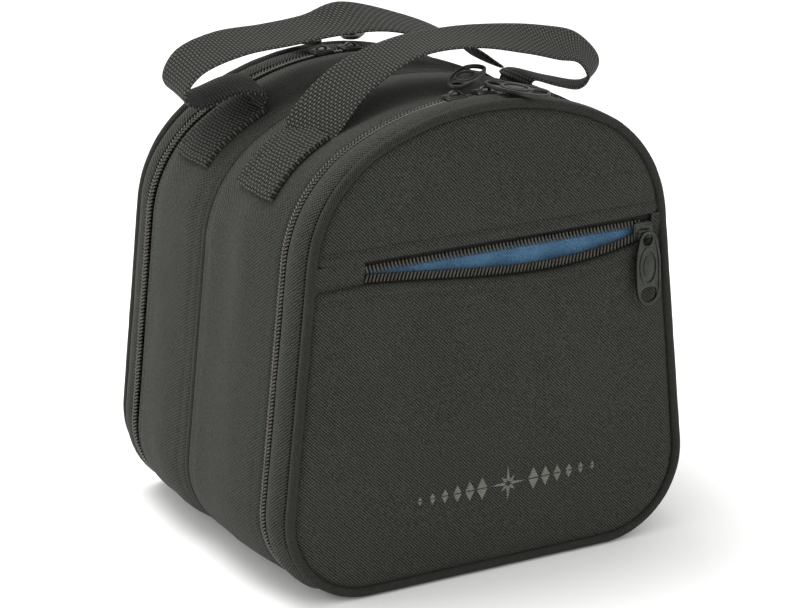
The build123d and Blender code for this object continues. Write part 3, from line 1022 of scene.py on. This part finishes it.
@dataclass
class Pocket:
    """The zipped pocket across the front lid."""

    lid: Lid
    left: float = -74.0
    right: float = 91.0
    pitch: float = 2.1

    def coil(self, name: str, height: Callable[[np.ndarray], np.ndarray], side: int) -> None:
        """Set one row of pocket zip teeth.

        Args:
            name: Name of the piece and of the CAD node it replaces.
            height: Height of the row at each x.
            side: 1 for the upper row and -1 for the lower.
        """
        unit = rounded_unit((1.1, 4.6, 2.0), 0.4)
        frames = []
        for x in np.arange(self.left + 1, self.right - 1, self.pitch):
            z0, z1 = height(np.array([x - 1.0, x + 1.0]))
            slope = math.atan2(z1 - z0, 2.0) + 0.25 * side
            along = (math.cos(slope), 0.0, math.sin(slope))
            frames.append(frame_matrix((x, -98.3, (z0 + z1) / 2), along, (0, -1, 0)))
        dress(instance_rows(name, unit, frames), Finish.COIL, self.lid.body, [name])

    def tape(self, name: str, height: Callable[[np.ndarray], np.ndarray], side: int, node: str) -> None:
        """Lay the tape that carries one row.

        Args:
            name: Name of the piece.
            height: Height of the row at each x.
            side: 1 for the upper tape and -1 for the lower.
            node: CAD node it replaces.
        """
        xs = np.linspace(-99, 101, 80)
        rows = height(xs)
        steps = np.linspace(-0.9, 9.0, 6)
        heights = rows[:, None] + side * steps[None, :]
        piece = sheet_piece(name, xs[:, None], -96.9, heights, (0.0, 0.5, 0.0))
        dress(piece, Finish.TAPE, self.lid.body, [node])

    def lining(self) -> None:
        """Make the blue pocket bag: back sheet, fold at the foot and front sheet."""
        turns = [(187.0, -95.2), (180.0, -95.6), (174.0, -95.9), (166.0, -95.4), (150.0, -92.6), (120.0, -91.3)]
        turns += [(60.0, -91.0), (26.0, -91.2), (17.0, -93.6), (20.0, -96.2)]
        turns += [(60.0, -96.7), (120.0, -96.7), (158.0, -96.6)]
        turns = np.array(turns)
        run = np.concatenate([[0.0], np.cumsum(np.hypot(*np.diff(turns, axis=0).T))])
        samples = np.linspace(0, run[-1], 90)
        zs, ys = (np.interp(samples, run, turns[:, k]) for k in (0, 1))
        xs = np.linspace(-93, 95, 60)
        outer = np.zeros((len(samples), len(xs), 3))
        outer[:, :, 0] = xs[None, :] * np.where(zs < 50, 1 - (50 - zs) / 260, 1.0)[:, None]
        for i, (z, y) in enumerate(zip(zs, ys)):
            for j, x in enumerate(xs):
                fold = 2.4 * ripple(x, 0, z * 0.5, 15.0, 4.0) if samples[i] < 40 else 0.15
                outer[i, j, 1:] = (min(y + max(fold, -0.6), -90.4), z)
        inner = outer.copy()
        inner[:, :, 1] += 0.35
        uv = np.zeros((len(samples), len(xs), 2))
        uv[:, :, 0] = samples[:, None] * MM
        uv[:, :, 1] = xs[None, :] * MM
        piece = thick_grid("pocket_lining", outer, inner, uv)
        dress(piece, Finish.LINING, self.lid.body, ["pocket_lining"])

    def tabs(self) -> None:
        """Make the cloth stops at the two ends of the zip."""
        for name, low, high in (("pocket_left_tab", -104.0, -74.2), ("pocket_right_tab", 95.8, 104.0)):
            xs, zs = np.linspace(low, high, 14), np.linspace(170.6, 184.4, 9)
            x, z = np.meshgrid(xs, zs, indexing="ij")
            y = -97.7 - 1.7 * np.clip((z - 170.6) / 11.0, 0, 1)
            inside = np.abs(x) > half_width_at(FRONT_PIPING, 2.6, z)
            x = np.where(inside, np.sign(x) * half_width_at(FRONT_PIPING, 2.6, z), x)
            piece = sheet_piece(name, x, y, z, (0.0, 0.9, 0.0))
            dress(piece, Finish.SHELL, self.lid.body, [name])

    def build(self) -> None:
        """Make every part of the pocket."""
        self.coil("pocket_upper_coil", lambda x: np.full(np.shape(x), UPPER_ROW), 1)
        self.coil("pocket_lower_coil", lower_row_height, -1)
        self.tape("pocket_upper_tape", lambda x: np.full(np.shape(x), UPPER_ROW), 1, "pocket_upper_tape")
        self.tape("pocket_lower_tape", lower_row_height, -1, "pocket_lower_tape")
        self.lining()
        self.tabs()


# ---- sliders and pulls ------------------------------------------------------------
@dataclass
class Pull:
    """A die-cast pull: rounded frame, open ends and a raised oval in the middle."""

    name: str
    body: str
    pin: tuple[float, float, float]
    along: tuple[float, float, float]
    up: tuple[float, float, float]
    reach: float = 36.0
    width: float = 15.0

    def loop(self, points: list[tuple[float, float]]) -> list[tuple[float, float]]:
        """Return a smooth closed loop through mirrored points."""
        full = points + [(x, -y) for x, y in reversed(points) if abs(y) > 1e-6]
        count = len(full)
        smooth = []
        for i in range(count):
            p0, p1, p2, p3 = (np.array(full[(i + k) % count]) for k in (-1, 0, 1, 2))
            smooth += [tuple(between_points(p0, p1, p2, p3, t)) for t in np.linspace(0, 1, 5)[:-1]]
        return smooth

    def plate(self, name: str, loops: list, half: float, bevel: float, lift: float) -> bpy.types.Object:
        """Fill flat loops and give them thickness and rounded edges.

        Args:
            name: Name of the piece.
            loops: Closed loops of points; inner ones are holes.
            half: Half thickness.
            bevel: Rounding of the edges.
            lift: Height of the middle of the plate.

        Returns:
            The plate, at its place on the bag.
        """
        rings = []
        for loop in loops:
            deselect()
            bpy.ops.mesh.primitive_circle_add(vertices=len(loop), radius=1.0)
            for vertex, (x, y) in zip(bpy.context.object.data.vertices, loop):
                vertex.co = (x, y, -half)
            rings.append(bpy.context.object)
        piece = joined(name, rings)
        bpy.ops.object.mode_set(mode="EDIT")
        bpy.ops.mesh.select_mode(type="EDGE")
        bpy.ops.mesh.select_all(action="SELECT")
        bpy.ops.mesh.fill(use_beauty=True)
        bpy.ops.mesh.extrude_region_move(TRANSFORM_OT_translate={"value": (0.0, 0.0, 2 * half)})
        bpy.ops.mesh.select_all(action="DESELECT")
        bpy.ops.mesh.edges_select_sharp(sharpness=math.radians(60))
        bpy.ops.mesh.bevel(offset=bevel, segments=2, affect="EDGES", clamp_overlap=True)
        bpy.ops.object.mode_set(mode="OBJECT")
        m = frame_matrix(self.pin, self.along, self.up)
        m[:3, 3] += m[:3, 2] * lift
        scale = np.diag([MM, MM, MM, 1.0])
        piece.data.transform(Matrix((scale @ m).tolist()))
        bpy.ops.object.mode_set(mode="EDIT")
        bpy.ops.mesh.select_all(action="SELECT")
        bpy.ops.mesh.remove_doubles(threshold=0.00001)
        bpy.ops.mesh.normals_make_consistent(inside=False)
        bpy.ops.object.mode_set(mode="OBJECT")
        bpy.ops.object.shade_smooth_by_angle(angle=math.radians(40))
        return piece

    def build(self) -> None:
        """Make the pull and hang it on its slider."""
        r, w = self.reach, self.width / 2
        rim = self.loop([(0.2, 0.0), (1.4, 3.4), (5.0, 5.2), (r * 0.36, w * 0.97), (r * 0.62, w), (r - 7, w * 0.92),
                         (r - 2.2, w * 0.62), (r, 0.0)])
        near = self.loop([(1.9, 0.0), (2.8, 2.2), (5.2, 3.0), (7.6, 2.0), (8.2, 0.0)])
        far = self.loop([(r - 10.2, 0.0), (r - 9.4, 3.9), (r - 6, 4.9), (r - 3.2, 3.6), (r - 2.0, 0.0)])
        parts = [self.plate(self.name + "_plate", [rim, near, far], 0.8, 0.3, 0.0)]
        inset = [(r / 2 + (x - r / 2) * 0.93, y * 0.84) for x, y in rim]
        parts.append(self.plate(self.name + "_rim", [rim, inset], 0.45, 0.15, 0.8))
        middle, half_long, half_wide = (r - 2.0) / 2, (r - 18.4) / 2 - 0.6, w - 2.0
        angles = np.linspace(0, 2 * math.pi, 41)[:-1]
        oval = [(middle + half_long * math.cos(t), half_wide * math.sin(t)) for t in angles]
        inner = [(middle + (x - middle) * 0.80, y * 0.80) for x, y in oval]
        core = [(middle + (x - middle) * 0.55, y * 0.55) for x, y in oval]
        parts.append(self.plate(self.name + "_ring", [oval, inner], 0.45, 0.15, 0.95))
        parts.append(self.plate(self.name + "_core", [core], 0.4, 0.2, 0.75))
        piece = joined(self.name, parts)
        dress(piece, Finish.METAL, self.body, [self.name])


@dataclass
class Slider:
    """A die-cast zip slider: two plates, side flanges and a bridge for the pull."""

    name: str
    body: str
    place: tuple[float, float, float]
    along: tuple[float, float, float]
    up: tuple[float, float, float]
    length: float = 11.5
    bridge_radius: float = 3.4
    bridge_wire: float = 0.8

    def block(self, size: tuple[float, float, float], at: tuple[float, float, float], bevel: float):
        """Make one rounded block in the slider's own axes.

        Args:
            size: Length, width and height.
            at: Place along, across and up from the slider's middle.
            bevel: Rounding of its edges.

        Returns:
            The block, at its place on the bag.
        """
        frame = frame_matrix(self.place, self.along, self.up)
        frame = frame @ np.array(Matrix.Translation(Vector(at)))
        return place_unit(self.name + "_block", rounded_unit(size, bevel, 2), frame)

    def bridge(self) -> bpy.types.Object:
        """Make the arched bridge that holds the pull."""
        frame = frame_matrix(self.place, self.along, self.up)
        deselect()
        bpy.ops.mesh.primitive_torus_add(
            major_segments=24, minor_segments=8, major_radius=self.bridge_radius, minor_radius=self.bridge_wire
        )
        ring = bpy.context.object
        bpy.ops.object.mode_set(mode="EDIT")
        bpy.ops.mesh.select_all(action="SELECT")
        bpy.ops.transform.resize(value=(1.0, 0.85, 1.5))
        bpy.ops.mesh.bisect(plane_co=(0, 0, 0), plane_no=(0, 1, 0), use_fill=True, clear_inner=True)
        bpy.ops.object.mode_set(mode="OBJECT")
        points = np.array([v.co[:] for v in ring.data.vertices])[:, [0, 2, 1]] + (0.0, 0.0, 1.0)
        faces = [list(p.vertices) for p in ring.data.polygons]
        bpy.data.objects.remove(ring, do_unlink=True)
        return place_unit(self.name + "_bridge", (points, faces), frame)

    def build(self) -> None:
        """Make the slider."""
        long = self.length
        parts = [
            self.block((long, 9.0, 1.5), (0, 0, 0.8), 0.5),
            self.block((long * 0.86, 7.0, 0.6), (0, 0, 1.7), 0.25),
            self.block((long * 0.8, 1.0, 2.4), (0, 4.3, -0.5), 0.3),
            self.block((long * 0.8, 1.0, 2.4), (0, -4.3, -0.5), 0.3),
            self.bridge(),
        ]
        piece = joined(self.name, parts)
        dress(piece, Finish.METAL, self.body, [self.name])


def on_crown(station: Station, degrees: float, lift: float) -> tuple[tuple, tuple, tuple]:
    """Place, direction and normal on the crown arc.

    Args:
        station: Outline whose crown is used.
        degrees: Angle from the middle, positive to the right.
        lift: Height above the outline.

    Returns:
        Point, direction along the arc and outward normal.
    """
    a = math.radians(degrees)
    reach = CROWN_RADIUS + lift
    place = (reach * math.sin(a), station.y, station.top - CROWN_RADIUS + reach * math.cos(a))
    return place, (math.cos(a), 0.0, -math.sin(a)), (math.sin(a), 0.0, math.cos(a))


# ---- handles ------------------------------------------------------------------------
@dataclass
class Handle:
    """A webbing handle: free strap with folded legs, and two sewn ends."""

    label: str
    body: str
    y: float
    front_edge: list[tuple[float, float, float]]
    rear_edge: list[tuple[float, float, float]]
    grip: tuple[int, int]
    blends: tuple[tuple[float, float], tuple[float, float]]
    gusset: Gusset
    left_top: float
    right_top: float
    low: float
    width: float = 38.0
    thick: float = 1.9
    steps: int = 20

    def smooth(self, raw: list[tuple[float, float, float]]) -> np.ndarray:
        """Return a smooth curve through the given points, closely sampled."""
        points = np.array(raw, float)
        ends = np.vstack([2 * points[0] - points[1], points, 2 * points[-1] - points[-2]])
        rows = []
        for i in range(1, len(ends) - 2):
            rows += [between_points(*ends[i - 1 : i + 3], t) for t in np.linspace(0, 1, self.steps + 1)[:-1]]
        rows.append(points[-1])
        return np.array(rows)

    def ribbon(self, name: str, near: np.ndarray, far: np.ndarray, start: float) -> bpy.types.Object:
        """Weave flat webbing between two edge curves.

        Args:
            name: Name of the piece.
            near: Samples of the front edge.
            far: Samples of the rear edge.
            start: Length already walked, so that the weave carries on.

        Returns:
            The strap.
        """
        centre = (near + far) / 2
        run = start + np.concatenate([[0.0], np.cumsum(np.linalg.norm(np.diff(centre, axis=0), axis=1))])
        share = (np.linspace(-1, 1, 17) + 1) / 2
        grid = near[:, None, :] + (far - near)[:, None, :] * share[None, :, None]
        along = np.gradient(grid, axis=0)
        normal = np.cross(along, (far - near)[:, None, :])
        normal /= np.linalg.norm(normal, axis=2)[:, :, None]
        rim = np.maximum(0.0, np.abs(share - 0.5) * 2 - 0.9) / 0.1
        cup = 0.5 * (share - 0.5) ** 2 * 4
        half = self.thick / 2 * (1 - 0.55 * rim)
        mid = grid + normal * cup[None, :, None]
        uv = np.zeros(grid.shape[:2] + (2,))
        uv[:, :, 0] = run[:, None] * MM
        uv[:, :, 1] = (share - 0.5)[None, :] * self.width * MM
        return thick_grid(name, mid + normal * half[None, :, None], mid - normal * half[None, :, None], uv)

    def build(self) -> None:
        """Make the grip, the two legs and the two sewn ends."""
        near, far = self.smooth(self.front_edge), self.smooth(self.rear_edge)
        middle = (near + far) / 2
        run = np.concatenate([[0.0], np.cumsum(np.linalg.norm(np.diff(middle, axis=0), axis=1))])
        low, high = (index * self.steps for index in self.grip)
        part = slice(low, high + 1)
        grip = self.ribbon(self.label + "_grip", near[part], far[part], run[low])
        dress(grip, Finish.WEBBING, self.body, [self.label + "_grip"])
        for side, part, blend in (
            ("left", slice(0, low + 1), self.blends[0]),
            ("right", slice(high, None), self.blends[1]),
        ):
            name = f"{self.label}_{side}_leg"
            leg = self.ribbon(name, near[part], far[part], run[part][0])
            dress(leg, Finish.WEBBING, "", [name])
            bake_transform(leg)
        self.sewn_end("left", -1, self.left_top)
        self.sewn_end("right", 1, self.right_top)

    def sewn_end(self, side: str, sign: int, top_x: float) -> None:
        """Lay a strap end on the shoulder and box-stitch it.

        Args:
            side: Name of the side.
            sign: -1 for left and 1 for right.
            top_x: How near the middle the flat end reaches.
        """
        name = f"{self.label}_{side}_end"
        depths = self.y + np.linspace(-1, 1, 17) * self.width / 2
        columns = []
        for y in depths:
            rows = loaf(self.gusset.outline(float(y)), 0.0, fine=4)
            top = int(np.argmax(rows[:, 1]))
            part = rows[: top + 1]
            part = part[(part[:, 1] > self.low) & (part[:, 0] > top_x)]
            run = part[:, 4] - part[0, 4]
            even = np.linspace(0, run[-1], 30)
            columns.append(np.column_stack([np.interp(even, run, part[:, k]) for k in (0, 1, 2, 3)] + [even]))
        grid = np.stack(columns, axis=1)
        lift = np.array([
            [self.gusset.rise(sign * grid[i, j, 0], depths[j], grid[i, j, 1]) for j in range(len(depths))]
            for i in range(30)
        ])
        lift = lift.mean(axis=1, keepdims=True) * 0.5 + np.maximum(lift, lift.mean(axis=1, keepdims=True)) * 0.5

        def layer(height: float) -> np.ndarray:
            """Points of the strap end at a height over the cloth."""
            points = np.zeros((30, len(depths), 3))
            points[:, :, 0] = sign * (grid[:, :, 0] + grid[:, :, 2] * (lift + height))
            points[:, :, 1] = depths[None, :]
            points[:, :, 2] = grid[:, :, 1] + grid[:, :, 3] * (lift + height)
            return points

        uv = np.zeros((30, len(depths), 2))
        uv[:, :, 0] = grid[:, :, 4] * MM
        uv[:, :, 1] = (depths - self.y)[None, :] * MM
        top_face = layer(2.6)
        piece = thick_grid(name, top_face, layer(0.3), uv)
        dress(piece, Finish.WEBBING, ROOT, [name])
        normal = np.stack([sign * grid[:, :, 2], np.zeros(grid.shape[:2]), grid[:, :, 3]], axis=2)
        loop = [(i, 2) for i in range(2, 22)] + [(21, j) for j in range(2, 15)]
        loop += [(i, 14) for i in range(21, 1, -1)] + [(2, j) for j in range(14, 1, -1)]
        places = np.array([top_face[i, j] for i, j in loop])
        ups = np.array([normal[i, j] for i, j in loop])
        stitch_row(name + "_box_stitch", places, ups, ROOT, 3.0)


# ---- emblem ---------------------------------------------------------------------------
@dataclass
class Emblem:
    """A stitched compass star with a row of shrinking diamonds on each side."""

    lid: Lid
    x: float = 9.0
    z: float = 49.0

    def leaf(self, points: list[tuple[float, float]]) -> tuple[list, list]:
        """Rings of points for one stitched shape, crowned in the middle."""
        centre = np.mean(points, axis=0)
        rings = []
        for share, lift in ((1.0, 0.0), (0.93, 0.35), (0.6, 0.55), (0.25, 0.6)):
            rings.append([(centre[0] + (x - centre[0]) * share, centre[1] + (z - centre[1]) * share, lift)
                          for x, z in points])
        return rings, [centre[0], centre[1], 0.6]

    def build(self) -> None:
        """Make the emblem on the curved face of the lid."""
        shapes = []
        for step in range(8):
            mid = math.radians(45 * step)
            reach = 10.5 if step % 2 == 0 else 6.0
            tip = (self.x + reach * math.cos(mid), self.z + reach * math.sin(mid))
            left = (self.x + 2.6 * math.cos(mid + 0.39), self.z + 2.6 * math.sin(mid + 0.39))
            right = (self.x + 2.6 * math.cos(mid - 0.39), self.z + 2.6 * math.sin(mid - 0.39))
            shapes.append([tip, left, (self.x + 0.9 * math.cos(mid), self.z + 0.9 * math.sin(mid)), right])
        for side in (-1, 1):
            for step in range(6):
                size = 6.4 - 0.75 * step
                spot = self.x + side * (15.5 + 7.4 * step)
                for half in (-1, 1):
                    shapes.append([(spot - size * 0.5, self.z + half * 0.25), (spot + size * 0.5, self.z + half * 0.25),
                                   (spot, self.z + half * size)])
        points, faces, uvs = [], [], []
        for shape in shapes:
            dense = []
            for a, b in zip(shape, shape[1:] + shape[:1]):
                for t in np.linspace(0, 1, 4)[:-1]:
                    dense.append((a[0] + (b[0] - a[0]) * t, a[1] + (b[1] - a[1]) * t))
            rings, middle = self.leaf(dense)
            first = len(points)
            count = len(dense)
            back = [(x, z, -0.3) for x, z, _ in rings[0]]
            stack = [p for ring in [back] + rings for p in ring] + [middle, (middle[0], middle[1], -0.3)]
            xs, zs = np.array([p[0] for p in stack]), np.array([p[1] for p in stack])
            ys = self.lid.face(xs, zs) - np.array([p[2] for p in stack])
            points += list(zip(xs, ys, zs))
            for r in range(len(rings)):
                for j in range(count):
                    k = (j + 1) % count
                    quad = [first + r * count + j, first + r * count + k, first + (r + 1) * count + k,
                            first + (r + 1) * count + j]
                    faces.append(quad)
            top, bottom = first + (len(rings) + 1) * count, first + (len(rings) + 1) * count + 1
            for j in range(count):
                k = (j + 1) % count
                faces.append([first + len(rings) * count + j, first + len(rings) * count + k, top])
                faces.append([first + k, first + j, bottom])
        uvs = [[(points[v][0] * MM * 0.35, points[v][2] * MM) for v in face] for face in faces]
        piece = mesh_piece("front_emblem", np.array(points), faces, uvs)
        dress(piece, Finish.THREAD, self.lid.body, ["front_emblem"])


# ---- studio ------------------------------------------------------------------------------
@dataclass
class Studio:
    """Pale floor, soft lights and the camera."""

    azimuth: float = -28.5
    elevation: float = 19.1
    distance: float = 1.641
    aim: tuple[float, float, float] = (0.0041, 0.0025, 0.118)
    lens: float = 133.17

    def floor(self) -> None:
        """Make a pale matt floor."""
        deselect()
        bpy.ops.mesh.primitive_plane_add(size=14.0, location=(0.0, 0.0, 0.0))
        floor = bpy.context.object
        floor.name = "studio_floor"
        material, tree, shader = new_material("floor_paper_matt")
        shader.inputs["Base Color"].default_value = linear("#f7f7f6")
        shader.inputs["Roughness"].default_value = 0.9
        floor.data.materials.append(material)

    def light(self, name: str, place: Sequence[float], size: float, power: float) -> None:
        """Add a soft square light aimed at the bag.

        Args:
            name: Name of the light.
            place: Its place in metres.
            size: Side of the light in metres.
            power: Its power in watts.
        """
        data = bpy.data.lights.new(name, "AREA")
        data.shape = "SQUARE"
        data.size = size
        data.energy = power
        lamp = bpy.data.objects.new(name, data)
        lamp.location = place
        aim = Vector(self.aim) - Vector(place)
        lamp.rotation_euler = aim.to_track_quat("-Z", "Y").to_euler()
        bpy.context.scene.collection.objects.link(lamp)

    def camera(self) -> None:
        """Set the camera at its place and aim it."""
        a, e = math.radians(self.azimuth), math.radians(self.elevation)
        back = Vector((math.sin(a) * math.cos(e), -math.cos(a) * math.cos(e), math.sin(e)))
        data = bpy.data.cameras.new("camera")
        data.lens = self.lens
        data.sensor_width = 36.0
        data.clip_end = 50.0
        camera = bpy.data.objects.new("camera", data)
        camera.location = Vector(self.aim) + back * self.distance
        camera.rotation_euler = (-back).to_track_quat("-Z", "Y").to_euler()
        bpy.context.scene.collection.objects.link(camera)
        bpy.context.scene.camera = camera

    def build(self) -> None:
        """Set up floor, lights, sky and camera."""
        self.floor()
        self.light("top_soft_box", (-0.4, 0.4, 1.6), 0.9, 20.0)
        self.light("left_soft_box", (-1.7, 0.5, 0.7), 0.8, 9.0)
        self.light("front_fill", (0.7, -1.8, 0.9), 1.2, 7.0)
        world = bpy.data.worlds.new("studio_sky")
        world.use_nodes = True
        world.node_tree.nodes["Background"].inputs[0].default_value = (1.0, 1.0, 1.0, 1.0)
        world.node_tree.nodes["Background"].inputs[1].default_value = 1.0
        bpy.context.scene.world = world
        bpy.context.scene.view_settings.view_transform = "Standard"
        self.camera()


# ---- plain carried-over pieces ---------------------------------------------------------
def dress_cad(node: str, finish: Finish, frame: dict) -> None:
    """Give a carried-over CAD node its finish.

    Args:
        node: Name of the node.
        finish: Its finish.
    """
    if finish not in BUILT:
        BUILT[finish] = RECIPES[finish].build()
    piece = frame["nodes"][node]
    piece.data.materials.clear()
    piece.data.materials.append(BUILT[finish])


def seam_binding() -> None:
    """Lay the folded tape that covers the middle seam."""
    depths = [7.4, 8.2, 9.2, 10.0, 10.8, 11.8, 12.6]
    crown = {7.4: -0.6, 8.2: 0.6, 9.2: 1.0, 10.0: 1.05, 10.8: 1.0, 11.8: 0.6, 12.6: -0.6}
    outer, normals, uv = sleeve_points(lambda y: SEAM.at(y), depths, lambda x, y, z: crown[y] - 0.9, ZIP_GAP)
    piece = thick_grid("centre_seam_binding", outer, outer - normals * 1.0, uv)
    dress(piece, Finish.TRIM, ROOT, ["centre_seam_binding"])


def hinge_strip(name: str, low: float, high: float) -> None:
    """Lay the cloth at the base that joins a lid to its gusset.

    Args:
        name: Name of the piece and of the CAD node it replaces.
        low: Lowest y.
        high: Highest y.
    """
    x, y = np.meshgrid(np.linspace(-72.0, 72.0, 50), np.linspace(low, high, 12), indexing="ij")
    z = 1.6 + 0.5 * ripples(x, y, 0, 20.0, 2.0)
    piece = sheet_piece(name, x, y, z, (0.0, 0.0, 2.0), flat_axes=(0, 1))
    dress(piece, Finish.SHELL, ROOT, [name])


def divider(name: str, y: float, facing: int) -> None:
    """Cover one side of the divider with lining.

    Args:
        name: Name of the piece and of the CAD node it replaces.
        y: Depth of its visible face.
        facing: -1 to face the front and 1 to face the rear.
    """
    heights = np.linspace(SEAM.base + 5.4, SEAM.top - 5.4, 60)
    widths = np.maximum(half_width_at(SEAM, 5.2, heights), 2.0)
    across = np.linspace(-1, 1, 41)
    x = widths[:, None] * across[None, :]
    z = np.repeat(heights[:, None], len(across), axis=1)
    face = y + ripples(x, 0, z, 40.0, 6.0) * 0.3
    piece = sheet_piece(name, x, face, z, (0.0, -facing * 0.5, 0.0))
    dress(piece, Finish.LINING, ROOT, [name])


def main() -> None:
    """Build the whole bag, piece by piece."""
    logging.basicConfig(level=logging.INFO, format="%(name)s: %(message)s")
    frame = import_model()

    for node in ("divider_foam", "front_panel_foam", "rear_panel_foam"):
        dress_cad(node, Finish.FOAM, frame)
    for node in ("front_gusset_zip_tape", "front_lid_zip_tape", "rear_gusset_zip_tape", "rear_lid_zip_tape"):
        dress_cad(node, Finish.TAPE, frame)

    front = Gusset("front_gusset", FRONT_EDGE, FRONT_PUFF, SEAM.at(9.85), True, seed=1.0)
    rear = Gusset("rear_gusset", SEAM.at(10.15), REAR_PUFF, REAR_EDGE, False, seed=5.0)
    front.build()
    rear.build()
    front.line(-58.0, 6.4)
    rear.line(13.6, 59.0)
    front.sew("front_gusset_seam_stitch", -7.5)
    front.sew("front_gusset_zip_stitch", 6.0)
    rear.sew("rear_gusset_seam_stitch", 7.5)
    rear.sew("rear_gusset_zip_stitch", -6.0)
    seam_binding()
    hinge_strip("front_hinge_strip", -94.8, -71.9)
    hinge_strip("rear_hinge_strip", 72.9, 94.8)
    divider("divider_front_lining", 6.9, -1)
    divider("divider_rear_lining", 13.1, 1)
    LOG.info("gussets, linings and divider")

    front_lid = Lid("front", "front_lid", FRONT_PIPING, FRONT_ZIP, FRONT_BAND, -1, seed=3.0)
    rear_lid = Lid("rear", "rear_lid", REAR_PIPING, REAR_ZIP, REAR_BAND, 1, seed=7.0)
    for lid in (front_lid, rear_lid):
        lid.build_band()
        lid.build_piping()
    front_lid.panel("front_upper_panel", 184.0, 253.6, None, False, True, 60)
    front_lid.panel("front_lower_panel", 4.8, 171.2, lower_lip, True, False, 110)
    rear_lid.panel("rear_panel", 4.8, 240.4, None, False, False, 110)
    front_lid.build_lining(-85.6)
    rear_lid.build_lining(88.9)
    LidZip(FRONT_ZIP, 1, "front", "front_lid").build()
    LidZip(REAR_ZIP, -1, "rear", "rear_lid").build()
    Pocket(front_lid).build()
    for name, xs, heights in (
        ("pocket_top_stitch", np.linspace(-103, 102, 90), np.full(90, 190.5)),
        ("pocket_low_stitch", np.linspace(-104, 104, 90), lower_lip(np.linspace(-104, 104, 90)) - 5.8),
    ):
        ys = front_lid.face(xs, heights) + 0.05
        stitch_row(name, np.column_stack([xs, ys, heights]), np.tile((0.0, -1.0, 0.0), (90, 1)), "front_lid")
    Emblem(front_lid).build()
    LOG.info("lids, zips and pocket")

    for name, station, degrees, lift in (
        ("front_left_slider", FRONT_ZIP, -3.7, 0.6),
        ("front_right_slider", FRONT_ZIP, 3.0, 0.6),
        ("rear_left_slider", REAR_ZIP, -3.4, 0.6),
        ("rear_right_slider", REAR_ZIP, 3.4, 0.6),
    ):
        Slider(name, name + "_body", *on_crown(station, degrees, lift)).build()
    Slider("pocket_slider", "pocket_slider_body", (90.0, -99.6, 176.0), (1, 0, 0), (0, -1, 0)).build()
    left_pin, right_pin = on_crown(FRONT_ZIP, -3.7, 6.0)[0], on_crown(FRONT_ZIP, 3.0, 6.4)[0]
    Pull("front_left_pull", "front_left_pull_body", left_pin, (0.76, 0.64, 0.08), (-0.06, -0.05, 1.0)).build()
    Pull("front_right_pull", "front_right_pull_body", right_pin, (0.60, -0.795, -0.08), (0.05, -0.05, 1.0)).build()
    left_pin, right_pin = on_crown(REAR_ZIP, -3.4, 6.4)[0], on_crown(REAR_ZIP, 3.4, 6.4)[0]
    Pull("rear_left_pull", "rear_left_pull_body", left_pin, (-0.5, 0.86, 0.0), (0.0, 0.0, 1.0)).build()
    Pull("rear_right_pull", "rear_right_pull_body", right_pin, (0.5, 0.86, 0.0), (0.0, 0.0, 1.0)).build()
    Pull("pocket_pull", "pocket_pull_body", (90.0, -104.5, 177.0), (0.05, 0.0, -1.0), (0.0, -1.0, 0.0), 41.5).build()
    LOG.info("sliders and pulls")

    Handle(
        "front_handle", "front_handle", -35.0,
        [(-75, -54, 228), (-64, -54, 239), (-46, -54, 258), (-18, -54, 272), (14, -54, 273), (46, -53, 266),
         (66, -52, 260), (80, -49, 256), (87, -47, 247), (80, -50, 243), (66, -54, 247), (52, -54, 252),
         (48, -54, 250), (50, -54, 247)],
        [(-77, -16, 229), (-72, -16, 243), (-47, -16, 263), (-14, -16, 273), (20, -16, 275), (52, -16, 273),
         (78, -16, 269), (98, -17, 263), (111, -19, 248), (101, -20, 238), (80, -17, 242), (58, -16, 249),
         (51, -16, 248), (53, -16, 245)],
        (2, 5), ((238, 262), (246, 264)), front, 69.0, 50.0, 206.5,
    ).build()
    Handle(
        "rear_handle", "rear_handle", 43.0,
        [(-70, 24, 233), (-68, 24, 240), (-84, 24, 243), (-104, 24, 238), (-114, 24, 244), (-104, 24, 256),
         (-80, 24, 263), (-52, 24, 265), (-24, 24, 267), (4, 24, 266), (34, 24, 258), (58, 24, 250), (77, 24, 237)],
        [(-66, 62, 232), (-62, 62, 242), (-76, 62, 243), (-98, 62, 238), (-110, 62, 246), (-102, 62, 260),
         (-80, 62, 267), (-52, 62, 268), (-28, 62, 270), (-4, 62, 275), (33, 62, 264), (58, 62, 252), (77, 62, 237)],
        (7, 10), ((240, 262), (240, 258)), rear, 66.0, 77.0, 204.0,
    ).build()
    LOG.info("handles")

    Studio().build()


if __name__ == "__main__":
    main()
